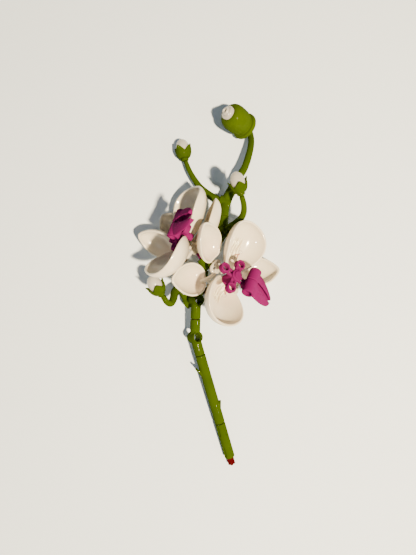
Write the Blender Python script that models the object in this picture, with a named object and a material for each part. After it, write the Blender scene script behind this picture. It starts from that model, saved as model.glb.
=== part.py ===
"""A moth orchid spray moulded in plastic: a jointed green stem, four buds and two open flowers.

The spray lies on a flat surface. X runs across it, Y from the cut end to the top bud, Z is up.
All sizes below are millimetres; they become metres where a point or a mesh is made.
"""

import bpy
import bmesh
from math import cos, exp, pi, radians, sin, sqrt
from mathutils import Matrix, Vector

MM = 0.001
GAP = 0.3

# The jointed stem: hub cylinders with tubular arms that meet half way between two hubs
HUB_RADIUS = 3.7
HUB_LENGTH = 8.0
ARM_RADIUS = 3.25
BORE_RADIUS = 2.55
BORE_DEPTH = 6.5
AXLE_RADIUS = 2.4
AXLE_RIB = 1.8
PEG_RADIUS = 2.2
STEM_RADIUS = 3.35
CONNECTOR_LENGTH = 24.0
GROOVE_LENGTH = 6.5
BASE_AXLE_SHOWN = 5.2

CUT_END = (14.4, -118.2, 3.42)
HUB_1 = (-8.4, -38.3, 10.6)
HUB_2 = (-7.5, -14.3, 13.0)
HUB_3 = (-1.6, 9.1, 16.0)
HUB_4 = (8.8, 27.8, 18.0)
HUB_5 = (10.9, 48.5, 9.0)
HUB_1_AXIS = (0.57, 0.1, 0.82)
HUB_2_AXIS = (0.55, 0.05, 0.83)
HUB_3_AXIS = (-0.59, 0.80, 0.105)
HUB_4_AXIS = (0.72, 0.50, 0.45)
HUB_5_AXIS = (-0.93, 0.33, 0.0)
SIDE_HUB = (-12.7, -16.0, 4.9)
SIDE_HUB_AXIS = (0.807, 0.553, 0.208)
SIDE_HUB_LENGTH = 5.4
SIDE_ARM_END = (-18.1, -5.2, 5.0)

# Petals: the rim's width and length, the bowl's depth, and how the rim departs from an oval
PETAL = {"width": 29.9, "length": 33.0, "depth": 9.0, "taper": 0.19, "saddle": 2.7,
         "point": 0.0, "base_cut": 1.3}
SEPAL = {"width": 19.6, "length": 24.6, "depth": 6.1, "taper": -0.06, "saddle": 0.4,
         "point": 1.7, "base_cut": 1.0}
WALL = 1.2
BOWL_FLATNESS = 2.6
BOWL_STEEPNESS = 0.6
STALK_RADIUS = 1.3

# The lip's hub with its four ring holders, and the two claws
DISC_RADIUS = 3.4
DISC_FACE_RADIUS = 2.7
RING_RADIUS = 3.0
RING_BORE = 1.6
RING_REACH = 8.5
RING_TOP = -1.4
RING_HEIGHT = 3.2
STRUT = 1.2
CLAW_BARREL_RADIUS = 3.6
CLAW_BARREL_LENGTH = 8.4
CLAW_REACH = 19.5
CLAW_WIDTH = 8.0
LIP_PIN_RADIUS = 1.5

# What carries a flower: a collar behind its hub, with a small cross tube on its tail
MOUNT_RADIUS = 1.7
TAIL_LENGTH = 6.4
TAIL_BORE = 1.85
PIN_RADIUS = 1.6
HANDLE_RADIUS = 1.05

# Buds
EGG_RADIUS = 4.0
EGG_HALF_LENGTH = 5.6
CUP_WALL = 1.0
CUP_HEIGHT = 7.2
CUP_NOTCH = 3.0
CUP_SPLAY = 0.55

GREEN = ("lime green plastic", (0.20, 0.26, 0.008), 0.32)
CREAM = ("cream white plastic", (0.86, 0.80, 0.70), 0.28)
MAGENTA = ("magenta plastic", (0.46, 0.05, 0.24), 0.30)
RED = ("dark red plastic", (0.26, 0.006, 0.010), 0.32)
BROWN = ("brown plastic", (0.09, 0.05, 0.02), 0.40)


def clear_scene():
    for item in list(bpy.data.objects):
        bpy.data.objects.remove(item, do_unlink=True)


def vec(point):
    return Vector(point) * MM


def material(kind):
    name, colour, roughness = kind
    found = bpy.data.materials.get(name)
    if found:
        return found
    made = bpy.data.materials.new(name)
    made.use_nodes = True
    shader = made.node_tree.nodes["Principled BSDF"]
    shader.inputs["Base Color"].default_value = (*colour, 1.0)
    shader.inputs["Roughness"].default_value = roughness
    shader.inputs["Metallic"].default_value = 0.0
    return made


def frame_matrix(origin, z_axis, x_hint=(1.0, 0.0, 0.0)):
    """Placement whose local Z runs along z_axis and local X leans toward x_hint."""
    z = Vector(z_axis).normalized()
    x = Vector(x_hint) - z * z.dot(Vector(x_hint))
    if x.length < 1e-4:
        x = z.orthogonal()
    x.normalize()
    y = z.cross(x)
    turn = Matrix((x, y, z)).transposed().to_4x4()
    return Matrix.Translation(vec(origin)) @ turn


def make_object(name, mesh_builder, kind, placement=None):
    """Turn a bmesh in millimetres into a named object in metres."""
    bmesh.ops.recalc_face_normals(mesh_builder, faces=mesh_builder.faces)
    bmesh.ops.scale(mesh_builder, vec=(MM, MM, MM), verts=mesh_builder.verts)
    mesh = bpy.data.meshes.new(name)
    mesh_builder.to_mesh(mesh)
    mesh_builder.free()
    mesh.materials.append(material(kind))
    item = bpy.data.objects.new(name, mesh)
    bpy.context.scene.collection.objects.link(item)
    if placement is not None:
        item.matrix_world = placement
    smooth(mesh)
    return item


def smooth(mesh):
    mesh.shade_smooth()
    mesh.set_sharp_from_angle(angle=radians(35.0))


def boolean(item, others, operation):
    """Join others to item, or cut them from it, and drop them."""
    group = bpy.data.collections.new("operands")
    bpy.context.scene.collection.children.link(group)
    for other in others:
        bpy.context.scene.collection.objects.unlink(other)
        group.objects.link(other)
    step = item.modifiers.new("Boolean", "BOOLEAN")
    step.operation = operation
    step.solver = "EXACT"
    step.operand_type = "COLLECTION"
    step.collection = group
    bpy.context.view_layer.update()
    graph = bpy.context.evaluated_depsgraph_get()
    result = bpy.data.meshes.new_from_object(item.evaluated_get(graph))
    item.modifiers.clear()
    item.data = result
    for other in others:
        bpy.data.objects.remove(other, do_unlink=True)
    bpy.data.collections.remove(group)
    smooth(result)
    return item


def lathe(profile, sides):
    """Turn (radius, height) points round Z; a radius of 0 closes the end in one point."""
    builder = bmesh.new()
    loops = []
    for radius, height in profile:
        if radius == 0.0:
            loops.append([builder.verts.new((0.0, 0.0, height))])
            continue
        loop = [builder.verts.new((radius * cos(2 * pi * i / sides),
                                   radius * sin(2 * pi * i / sides), height))
                for i in range(sides)]
        loops.append(loop)
    for lower, upper in zip(loops, loops[1:]):
        bridge(builder, lower, upper)
    for end in (loops[0], loops[-1]):
        if len(end) > 1:
            builder.faces.new(end)
    return builder


def bridge(builder, lower, upper):
    """Faces between two closed loops, where either may be a single point."""
    count = max(len(lower), len(upper))
    for i in range(count):
        j = (i + 1) % count
        if len(lower) == 1:
            builder.faces.new((lower[0], upper[j], upper[i]))
        elif len(upper) == 1:
            builder.faces.new((lower[i], lower[j], upper[0]))
        else:
            builder.faces.new((lower[i], lower[j], upper[j], upper[i]))


def rod(name, start, end, radius, kind, sides=12):
    """A plain round bar between two points."""
    length = (Vector(end) - Vector(start)).length
    builder = lathe([(radius, 0.0), (radius, length)], sides)
    return make_object(name, builder, kind, frame_matrix(start, Vector(end) - Vector(start)))


def cross_axle(name, start, end, kind):
    """A bar whose section is a cross with four ribs."""
    length = (Vector(end) - Vector(start)).length
    half = AXLE_RIB / 2
    tip = sqrt(AXLE_RADIUS ** 2 - half ** 2)
    corner = [(tip, -half), (tip, half), (half, half)]
    outline = []
    for turn in range(4):
        c, s = cos(turn * pi / 2), sin(turn * pi / 2)
        outline += [(x * c - y * s, x * s + y * c) for x, y in corner]
    builder = bmesh.new()
    low = [builder.verts.new((x, y, 0.0)) for x, y in outline]
    high = [builder.verts.new((x, y, length)) for x, y in outline]
    bridge(builder, low, high)
    builder.faces.new(low)
    builder.faces.new(high)
    return make_object(name, builder, kind, frame_matrix(start, Vector(end) - Vector(start)))


def spline(points, steps):
    """Points along a Catmull-Rom curve through the route's own points."""
    route = [Vector(p) for p in points]
    route = [route[0] * 2 - route[1]] + route + [route[-1] * 2 - route[-2]]
    found = []
    for a, b, c, d in zip(route, route[1:], route[2:], route[3:]):
        for i in range(steps):
            t = i / steps
            found.append(0.5 * (2 * b + (c - a) * t + (2 * a - 5 * b + 4 * c - d) * t * t
                                + (3 * b - a - 3 * c + d) * t ** 3))
    found.append(route[-2])
    return found


def sweep(name, points, radius_at, kind, sides=10, ends=()):
    """A round bar along points; radius_at gives its radius from 0 at the start to 1 at the end.

    ends holds extra (point, radius) rings past the last point, such as a peg.
    """
    centres = [Vector(p) for p in points]
    count = len(centres) - 1
    radii = [radius_at(i / count) for i in range(count + 1)]
    for centre, radius in ends:
        centres.append(Vector(centre))
        radii.append(radius)
    tangents = []
    for i, centre in enumerate(centres):
        ahead = centres[min(i + 1, len(centres) - 1)]
        behind = centres[max(i - 1, 0)]
        tangents.append((ahead - behind).normalized())
    if ends:
        peg = (centres[-1] - centres[count]).normalized()
        tangents[count:] = [peg] * (len(ends) + 1)
    side = tangents[0].orthogonal().normalized()
    builder = bmesh.new()
    loops = []
    for centre, radius, tangent in zip(centres, radii, tangents):
        side = (side - tangent * side.dot(tangent)).normalized()
        other = tangent.cross(side)
        loops.append([builder.verts.new(centre + radius * (cos(2 * pi * i / sides) * side
                                                           + sin(2 * pi * i / sides) * other))
                      for i in range(sides)])
    for lower, upper in zip(loops, loops[1:]):
        bridge(builder, lower, upper)
    builder.faces.new(loops[0])
    builder.faces.new(loops[-1])
    return make_object(name, builder, kind)


def toward(start, end, distance):
    """The point that lies distance from start on the way to end."""
    return Vector(start) + (Vector(end) - Vector(start)).normalized() * distance


def bend(name, centre, axis, arms, length=HUB_LENGTH):
    """A bored hub with arms; each arm is its end point and whether the end has a bore."""
    half = Vector(axis).normalized() * length / 2
    body = rod(name, Vector(centre) - half, Vector(centre) + half, HUB_RADIUS, GREEN, 16)
    joined = [rod("arm", centre, end, ARM_RADIUS, GREEN, 15) for end, bored in arms]
    boolean(body, joined, "UNION")
    over = half + half.normalized()
    cuts = [rod("bore", Vector(centre) - over, Vector(centre) + over, BORE_RADIUS, GREEN, 12)]
    for end, bored in arms:
        if bored:
            cuts.append(rod("bore", toward(end, centre, BORE_DEPTH), toward(end, centre, -1.0),
                            BORE_RADIUS, GREEN, 12))
    return boolean(body, cuts, "DIFFERENCE")


def arm_end(hub, neighbour):
    """Where an arm stops, half way to the neighbouring hub less half the joint's gap."""
    length = (Vector(neighbour) - Vector(hub)).length / 2 - GAP / 2
    return toward(hub, neighbour, length)


def joint_axle(name, hub, neighbour):
    """The hidden axle in the two bores where two arms meet."""
    middle = (Vector(hub) + Vector(neighbour)) / 2
    reach = BORE_DEPTH - GAP
    return cross_axle(name, toward(middle, hub, reach), toward(middle, neighbour, reach), BROWN)


def build_stem():
    lower_arm = 12.0
    lower_arm_end = toward(HUB_1, CUT_END, lower_arm)
    connector_top = toward(CUT_END, HUB_1, CONNECTOR_LENGTH)
    bend("lower_bend", HUB_1, HUB_1_AXIS, [(lower_arm_end, True), (arm_end(HUB_1, HUB_2), True)])
    bend("second_bend", HUB_2, HUB_2_AXIS,
         [(arm_end(HUB_2, HUB_1), True), (arm_end(HUB_2, HUB_3), True)])
    bend("third_bend", HUB_3, HUB_3_AXIS,
         [(arm_end(HUB_3, HUB_2), True), (arm_end(HUB_3, HUB_4), True)])
    bend("fourth_bend", HUB_4, HUB_4_AXIS,
         [(arm_end(HUB_4, HUB_3), True), (arm_end(HUB_4, HUB_5), True)])
    bend("upper_bend", HUB_5, HUB_5_AXIS,
         [(arm_end(HUB_5, HUB_4), True), (toward(HUB_5, TOP_STEM_FOOT, 12.0), True)])
    joint_axle("joint_axle_1", HUB_1, HUB_2)
    joint_axle("joint_axle_2", HUB_2, HUB_3)
    joint_axle("joint_axle_3", HUB_3, HUB_4)
    joint_axle("joint_axle_4", HUB_4, HUB_5)
    build_lower_stem(toward(lower_arm_end, CUT_END, GAP), toward(connector_top, HUB_1, GAP))
    build_base_connector(connector_top)
    axle_top = toward(CUT_END, HUB_1, BORE_DEPTH - GAP)
    axle_end = toward(CUT_END, HUB_1, -BASE_AXLE_SHOWN)
    cross_axle("base_axle", axle_end, axle_top, RED)


def build_lower_stem(top, foot):
    """The long stem: a round bar with a peg at each end and two small leaf nodes."""
    length = (Vector(foot) - Vector(top)).length
    peg = BORE_DEPTH - 2 * GAP
    profile = [(AXLE_RADIUS, -peg), (AXLE_RADIUS, 0.0), (STEM_RADIUS, 0.0),
               (STEM_RADIUS, length), (AXLE_RADIUS, length), (AXLE_RADIUS, length + peg)]
    placement = frame_matrix(top, Vector(foot) - Vector(top))
    stem = make_object("lower_stem", lathe(profile, 14), GREEN, placement)
    nodes = [leaf_node(top, foot, 11.5, (-1.0, 0.1, 0.35), 1.9),
             leaf_node(top, foot, 36.5, (1.0, 0.2, 0.25), 0.9)]
    return boolean(stem, nodes, "UNION")


def leaf_node(top, foot, distance, outward, spread):
    """A small blunt scale that stands off the stem and points up it."""
    along = (Vector(top) - Vector(foot)).normalized()
    out = Vector(outward)
    out = (out - along * out.dot(along)).normalized()
    root = toward(top, foot, distance)
    base = root + out * (STEM_RADIUS - 1.3) - along * 2.0
    tip = root + out * (STEM_RADIUS + spread) + along * 4.0
    side = along.cross(out)
    builder = bmesh.new()
    loops = []
    for centre, width, depth in ((base, 1.9, 0.8), (tip, 1.5, 0.7)):
        loops.append([builder.verts.new(centre + side * x * width + out * y * depth)
                      for x, y in ((-1, -1), (1, -1), (1, 1), (-1, 1))])
    bridge(builder, loops[0], loops[1])
    builder.faces.new(loops[0])
    builder.faces.new(loops[1])
    return make_object("leaf_node", builder, GREEN)


def build_base_connector(top):
    """The straight connector at the cut end, with four flutes cut in each of its ends."""
    length = CONNECTOR_LENGTH
    edge = 0.5
    profile = [(STEM_RADIUS - edge, 0.0), (STEM_RADIUS, edge), (STEM_RADIUS, length - edge),
               (STEM_RADIUS - edge, length)]
    placement = frame_matrix(CUT_END, Vector(top) - Vector(CUT_END))
    body = make_object("base_connector", lathe(profile, 16), GREEN, placement)
    cuts = []
    for start in (-1.0, length - BORE_DEPTH):
        builder = lathe([(BORE_RADIUS, start), (BORE_RADIUS, start + BORE_DEPTH + 1.0)], 12)
        cuts.append(make_object("bore", builder, GREEN, placement))
    for start in (1.5, length - GROOVE_LENGTH - 1.5):
        for turn in range(4):
            around = pi / 4 + turn * pi / 2
            centre = (STEM_RADIUS + 0.75) * Vector((cos(around), sin(around), 0.0))
            builder = lathe([(1.1, start), (1.1, start + GROOVE_LENGTH)], 8)
            bmesh.ops.translate(builder, vec=centre, verts=builder.verts)
            cuts.append(make_object("flute", builder, GREEN, placement))
    return boolean(body, cuts, "DIFFERENCE")


# Curved stems of the buds, each from the bud down to its peg
TOP_BUD_BACK = (24.6, 98.2, 6.1)
TOP_BUD_AXIS = (-0.65, 0.22, 0.72)
TOP_STEM_ROUTE = [(25.0, 98.1, 5.7), (26.1, 97.6, 4.6), (27.5, 95.6, 4.2), (28.2, 92.0, 5.0),
                  (28.1, 87.0, 7.1), (27.0, 81.4, 8.6), (25.3, 75.3, 9.8), (23.2, 69.9, 10.6),
                  (21.0, 66.2, 11.0)]
TOP_STEM_FOOT = (21.0, 66.2, 11.0)
LEFT_BUD_ROUTE = [(-14.4, 75.6, 6.2), (-12.1, 69.8, 6.4), (-9.1, 64.4, 6.8), (-5.2, 58.9, 7.6),
                  (-0.9, 54.9, 8.4), (3.2, 52.0, 8.9), (6.2, 50.2, 9.0)]
RIGHT_BUD_ROUTE = [(20.2, 48.2, 30.2), (21.6, 43.6, 27.6), (21.6, 39.2, 25.0), (19.9, 36.0, 21.6),
                   (16.4, 33.0, 20.6), (12.2, 30.3, 20.2)]
LOW_BUD_ROUTE = [(-27.2, -12.4, 21.6), (-25.3, -15.2, 20.6), (-23.2, -16.1, 18.6),
                 (-21.9, -13.6, 15.4), (-21.3, -9.9, 11.7), (-20.0, -7.7, 8.7)]


def build_bud_stems():
    foot = Vector(TOP_STEM_FOOT)
    peg_end = toward(HUB_5, TOP_STEM_FOOT, 12.0 - BORE_DEPTH + GAP)
    sweep("top_stem", spline(TOP_STEM_ROUTE, 2), lambda t: 1.75 + 0.65 * t, GREEN, 10,
          [(foot, PEG_RADIUS), (peg_end, PEG_RADIUS)])
    axis = Vector(HUB_5_AXIS).normalized()
    mouth = Vector(HUB_5) + axis * (HUB_LENGTH / 2 + 2 * GAP)
    sweep("left_bud_stem", spline(LEFT_BUD_ROUTE[:-1] + [tuple(mouth)], 2),
          lambda t: 1.4 + 1.2 * t, GREEN, 10,
          [(mouth, PEG_RADIUS), (mouth - axis * 6.0, PEG_RADIUS)])
    axis = Vector(HUB_4_AXIS).normalized()
    mouth = Vector(HUB_4) + axis * (HUB_LENGTH / 2 + 2 * GAP)
    sweep("right_bud_stem", spline(RIGHT_BUD_ROUTE[:-1] + [tuple(mouth)], 2),
          lambda t: 1.6 + 0.8 * t, GREEN, 10,
          [(mouth, PEG_RADIUS), (mouth - axis * 6.0, PEG_RADIUS)])
    sweep("low_bud_stem", spline(LOW_BUD_ROUTE, 2), lambda t: 1.5 + 1.4 * t, GREEN, 10)


def cup_outline(around):
    """The cup's height at an angle: four pointed sepals with notches between them."""
    share = abs(((around / (pi / 2)) + 0.5) % 1.0 - 0.5) * 2.0
    return CUP_NOTCH + (CUP_HEIGHT - CUP_NOTCH) * (1.0 - share) ** 0.85


def cup_radius(height):
    """The cup's inner radius, which clears the egg and opens a little above its middle."""
    middle = 5.2
    if height < middle:
        return (EGG_RADIUS + 0.45) * sqrt(max(0.0, 1.0 - ((height - middle) / 5.9) ** 2))
    return EGG_RADIUS + 0.45 + CUP_SPLAY * (height - middle) ** 1.4


def build_cup(name, base, axis, turn):
    """A green cup; base is its foot's centre, and axis points to the egg's tip."""
    sides, rings = 24, 5
    builder = bmesh.new()
    surfaces = []
    for extra in (0.0, CUP_WALL):
        loops = []
        for ring in range(rings):
            share = ring / (rings - 1)
            loop = []
            for i in range(sides):
                around = 2 * pi * i / sides
                height = 0.35 + (cup_outline(around) - 0.35) * share
                radius = cup_radius(height) + extra * (1.0 - 0.25 * share)
                loop.append(builder.verts.new((radius * cos(around), radius * sin(around),
                                               height - extra * (1.0 - share))))
            loops.append(loop)
        surfaces.append(loops)
    inner, outer = surfaces
    for loops in surfaces:
        for lower, upper in zip(loops, loops[1:]):
            bridge(builder, lower, upper)
    builder.faces.new(inner[0])
    builder.faces.new(outer[0])
    bridge(builder, inner[-1], outer[-1])
    bmesh.ops.translate(builder, vec=(0.0, 0.0, 2.6), verts=builder.verts)
    placement = frame_matrix(base, axis) @ Matrix.Rotation(turn, 4, "Z")
    cup = make_object(name, builder, GREEN, placement)
    foot = lathe([(2.1, 0.0), (2.5, 0.5), (2.5, 1.5), (2.0, 2.2), (1.2, 2.6)], 14)
    return boolean(cup, [make_object("foot", foot, GREEN, placement)], "UNION")


def build_egg(name, base, axis):
    """The white bud, an egg whose blunt end sits in its cup."""
    rings = 8
    profile = []
    for ring in range(rings + 1):
        around = pi * ring / rings
        radius = EGG_RADIUS * sin(around) * (1.0 + 0.06 * cos(around))
        profile.append((radius if 0 < ring < rings else 0.0, -EGG_HALF_LENGTH * cos(around)))
    builder = lathe(profile, 16)
    lift = 2.6 + 0.35 + GAP + EGG_HALF_LENGTH
    bmesh.ops.translate(builder, vec=(0.0, 0.0, lift), verts=builder.verts)
    return make_object(name, builder, CREAM, frame_matrix(base, axis))


BUDS = {
    "left_bud": ((-14.9, 76.1, 6.2), (-0.18, 0.98, 0.02), radians(60.0)),
    "right_bud": ((19.9, 49.0, 30.6), (-0.30, 0.85, 0.43), radians(10.0)),
    "low_bud": ((-27.6, -11.9, 21.9), (-0.45, 0.78, 0.42), radians(20.0)),
}


def build_buds():
    for name, (base, axis, turn) in BUDS.items():
        build_cup(name + "_cup", base, axis, turn)
        build_egg(name + "_egg", base, axis)


def build_top_bud():
    """The big bud: a flange, a domed barrel on it, and a rolled white tip."""
    placement = frame_matrix(TOP_BUD_BACK, TOP_BUD_AXIS)
    barrel = [(8.1, 0.0), (8.6, 0.5), (8.6, 2.4), (8.2, 3.0), (8.3, 12.5),
              (7.9, 15.0), (7.0, 16.8), (5.6, 18.0), (4.75, 18.2), (4.6, 16.8), (0.0, 16.8)]
    make_object("top_bud", lathe(barrel, 20), GREEN, placement)
    sides, rings = 18, 7
    builder = bmesh.new()
    loops = []
    for ring in range(rings):
        share = ring / (rings - 1)
        radius = 4.1 * (1.0 - 0.86 * share ** 2.4) ** 0.6
        height = 17.1 + 4.5 * share ** 0.75
        loop = []
        for i in range(sides):
            around = 2 * pi * i / sides
            ridge = 0.30 * cos(3 * around + 7.0 * share) * min(1.0, 4 * share)
            loop.append(builder.verts.new(((radius + ridge * 0.5) * cos(around),
                                           (radius + ridge * 0.5) * sin(around), height + ridge)))
        loops.append(loop)
    dimple = builder.verts.new((0.0, 0.0, 20.4))
    for lower, upper in zip(loops, loops[1:]):
        bridge(builder, lower, upper)
    bridge(builder, loops[-1], [dimple])
    builder.faces.new(loops[0])
    make_object("top_bud_tip", builder, CREAM, placement)


def rim_point(shape, around):
    """The rim of a petal in its own plane: +Y is the tip, and around is 0 there."""
    half_width, half_length = shape["width"] / 2, shape["length"] / 2
    from_tip = min(around, 2 * pi - around)
    x = half_width * sin(around) * (1.0 + shape["taper"] * cos(around))
    y = half_length * cos(around) + shape["point"] * exp(-(from_tip / 0.45) ** 2)
    y = max(y, shape["base_cut"] - half_length)
    rise = shape["saddle"] * ((x / half_width) ** 2 - (y / half_length) ** 2)
    return x, y, rise


def petal_shell(shape, sides, shares):
    """The bowl's inner face as rings from the rim inwards, with the thickness below it."""
    builder = bmesh.new()
    rim = [rim_point(shape, 2 * pi * i / sides) for i in range(sides)]
    faces = []
    for inset, beyond in ((0.0, -0.75 * WALL), (WALL, 0.25 * WALL)):
        loops = []
        for share in shares:
            grown = share * (1.0 + beyond / (shape["width"] / 2))
            depth = (shape["depth"] + inset) * (1.0 - share ** BOWL_FLATNESS) ** BOWL_STEEPNESS
            loops.append([builder.verts.new((x * grown, y * grown, rise * share * share - depth))
                          for x, y, rise in rim])
        centre = builder.verts.new((0.0, 0.0, -shape["depth"] - inset))
        for upper, lower in zip(loops, loops[1:]):
            bridge(builder, upper, lower)
        bridge(builder, loops[-1], [centre])
        faces.append(loops)
    bridge(builder, faces[0][0], faces[1][0])
    return builder


def build_petal(name, shape, centre, tip, opening, route):
    """A bowl with its tip along tip and its hollow toward opening, on a stalk along route."""
    z = Vector(opening).normalized()
    y = (Vector(tip) - z * z.dot(Vector(tip))).normalized()
    x = y.cross(z)
    turn = Matrix((x, y, z)).transposed().to_4x4()
    placement = Matrix.Translation(vec(centre)) @ turn
    large = shape is PETAL
    sides = 22 if large else 18
    shares = (1.0, 0.97, 0.88, 0.68, 0.36) if large else (1.0, 0.95, 0.80, 0.45)
    petal = make_object(name, petal_shell(shape, sides, shares), CREAM, placement)
    heel = shape["base_cut"] - shape["length"] / 2 - WALL * 0.6
    inside = Vector(centre) + y * (heel + 1.1) - z * shape["depth"] * 0.4
    points = [inside] + [Vector(p) for p in route]
    if len(points) > 2:
        points = spline(points, 2)
    stalk = sweep("stalk", points, lambda t: STALK_RADIUS, CREAM, 8)
    return boolean(petal, [stalk], "UNION")


class Flower:
    """Where one open flower sits: its disc's centre, the way it faces, and the way its lip hangs."""

    def __init__(self, name, centre, facing, lip, barrel, lean):
        self.name = name
        self.centre = Vector(centre)
        self.facing = Vector(facing).normalized()
        lip = Vector(lip)
        self.lip = (lip - self.facing * lip.dot(self.facing)).normalized()
        self.side = self.facing.cross(self.lip)
        self.barrel = barrel
        self.lean = radians(lean)

    def placement(self):
        turn = Matrix((self.lip, self.side, self.facing)).transposed().to_4x4()
        return Matrix.Translation(self.centre * MM) @ turn

    def at(self, out, across, forward):
        return self.centre + self.lip * out + self.side * across + self.facing * forward


def build_hub(flower):
    """The magenta disc and barrel with four ring holders on paired struts."""
    placement = flower.placement()
    profile = [(0.0, 0.0), (DISC_FACE_RADIUS, 0.0), (DISC_FACE_RADIUS, -0.5), (DISC_RADIUS, -0.9),
               (DISC_RADIUS, -flower.barrel), (0.0, -flower.barrel)]
    hub = make_object(flower.name + "_hub", lathe(profile, 16), MAGENTA, placement)
    joined, cuts = [], []
    for turn in range(4):
        around = turn * pi / 2
        centre = Vector((RING_REACH * cos(around), RING_REACH * sin(around), 0.0))
        for radius, low, high, group in ((RING_RADIUS, RING_TOP - RING_HEIGHT, RING_TOP, joined),
                                         (RING_BORE, RING_TOP - RING_HEIGHT - 1, RING_TOP + 1, cuts)):
            builder = lathe([(radius, low), (radius, high)], 12)
            bmesh.ops.translate(builder, vec=centre, verts=builder.verts)
            group.append(make_object("ring", builder, MAGENTA, placement))
        for offset in (-1.4, 1.4):
            builder = bmesh.new()
            bmesh.ops.create_cube(builder, size=1.0)
            bmesh.ops.scale(builder, vec=(4.2, STRUT, STRUT), verts=builder.verts)
            bmesh.ops.translate(builder, vec=(4.5, offset, -3.0), verts=builder.verts)
            bmesh.ops.rotate(builder, cent=(0, 0, 0), matrix=Matrix.Rotation(around, 3, "Z"),
                             verts=builder.verts)
            joined.append(make_object("strut", builder, MAGENTA, placement))
    boolean(hub, joined, "UNION")
    return boolean(hub, cuts, "DIFFERENCE")


def lip_placement(flower):
    """The lip's own frame: X along the claws' reach, Y along their shared axis, Z to the front."""
    height = RING_TOP + CLAW_BARREL_RADIUS + GAP
    turn = Matrix.Rotation(-flower.lean, 4, "Y")
    shift = Matrix.Translation(Vector((RING_REACH, 0.0, height)) * MM)
    return flower.placement() @ shift @ turn


def build_lip_pin(flower):
    """The T-shaped pin that carries both claws and plugs into one ring holder."""
    half = CLAW_BARREL_LENGTH - 1.6
    pin = rod(flower.name + "_lip_pin", flower_lip_point(flower, -half), flower_lip_point(flower, half),
              LIP_PIN_RADIUS, MAGENTA, 10)
    foot = flower.at(RING_REACH, 0.0, RING_TOP - RING_HEIGHT + 0.4)
    neck = rod("neck", foot, flower_lip_point(flower, 0.0), RING_BORE - GAP, MAGENTA, 10)
    return boolean(pin, [neck], "UNION")


def flower_lip_point(flower, across):
    return flower.at(RING_REACH, across, RING_TOP + CLAW_BARREL_RADIUS + GAP)


def build_claw(flower, hand):
    """One claw: a bored barrel and a blade with a straight inner edge and a curved outer one."""
    placement = lip_placement(flower)
    side = 1.0 if hand == "left" else -1.0
    builder = bmesh.new()
    stations = 8
    loops = []
    for i in range(stations + 1):
        share = i / stations
        reach = 1.0 + (CLAW_REACH - 1.0) * share
        width = CLAW_WIDTH * (1.0 - share ** 2.2) ** 0.75 * (0.86 + 0.14 * min(1.0, share * 4))
        width = max(width, 0.9)
        thick = 2.3 - 1.2 * share
        lift = 1.6 - 1.2 * share - 1.4 * share * share
        inner, outer = 0.35, 0.35 + width
        section = [(inner, lift + thick / 2), ((inner + outer) / 2, lift + thick / 2 + 0.2),
                   (outer - 0.3, lift - 0.16 * width + thick / 4), (outer, lift - 0.22 * width),
                   (outer - 0.3, lift - 0.2 * width - thick / 4),
                   ((inner + outer) / 2, lift - thick / 2 - 0.1 * width), (inner, lift - thick / 2)]
        loops.append([builder.verts.new((reach, side * across, up)) for across, up in section])
    for lower, upper in zip(loops, loops[1:]):
        bridge(builder, lower, upper)
    builder.faces.new(loops[0])
    builder.faces.new(loops[-1])
    blade = make_object(flower.name + "_lip_" + hand, builder, MAGENTA, placement)
    along = Matrix.Rotation(-pi / 2 * side, 4, "X")
    barrel = lathe([(CLAW_BARREL_RADIUS, 0.2), (CLAW_BARREL_RADIUS, CLAW_BARREL_LENGTH)], 16)
    boolean(blade, [make_object("barrel", barrel, MAGENTA, placement @ along)], "UNION")
    bore = lathe([(LIP_PIN_RADIUS + 0.25, -1.0), (LIP_PIN_RADIUS + 0.25, CLAW_BARREL_LENGTH + 1)], 12)
    cuts = [make_object("bore", bore, MAGENTA, placement @ along)]
    slot = bmesh.new()
    bmesh.ops.create_cube(slot, size=1.0)
    bmesh.ops.scale(slot, vec=(4.4, 3.8, 4.6), verts=slot.verts)
    bmesh.ops.translate(slot, vec=(0.0, 0.0, -2.3), verts=slot.verts)
    cuts.append(make_object("slot", slot, MAGENTA, placement))
    return boolean(blade, cuts, "DIFFERENCE")


RIGHT = Flower("right", (17.7, 1.5, 36.5), (0.568, 0.269, 0.777), (0.74, -0.57, -0.34), 12.0, -10.0)
LEFT = Flower("left", (-19.2, 26.9, 34.0), (-0.83, 0.41, 0.37), (0.48, 0.25, 0.84), 4.2, 0.0)
RIGHT_TAIL = (3.2, -5.1, 9.0)
LEFT_TAIL = (-8.3, 18.2, 17.2)

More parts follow.
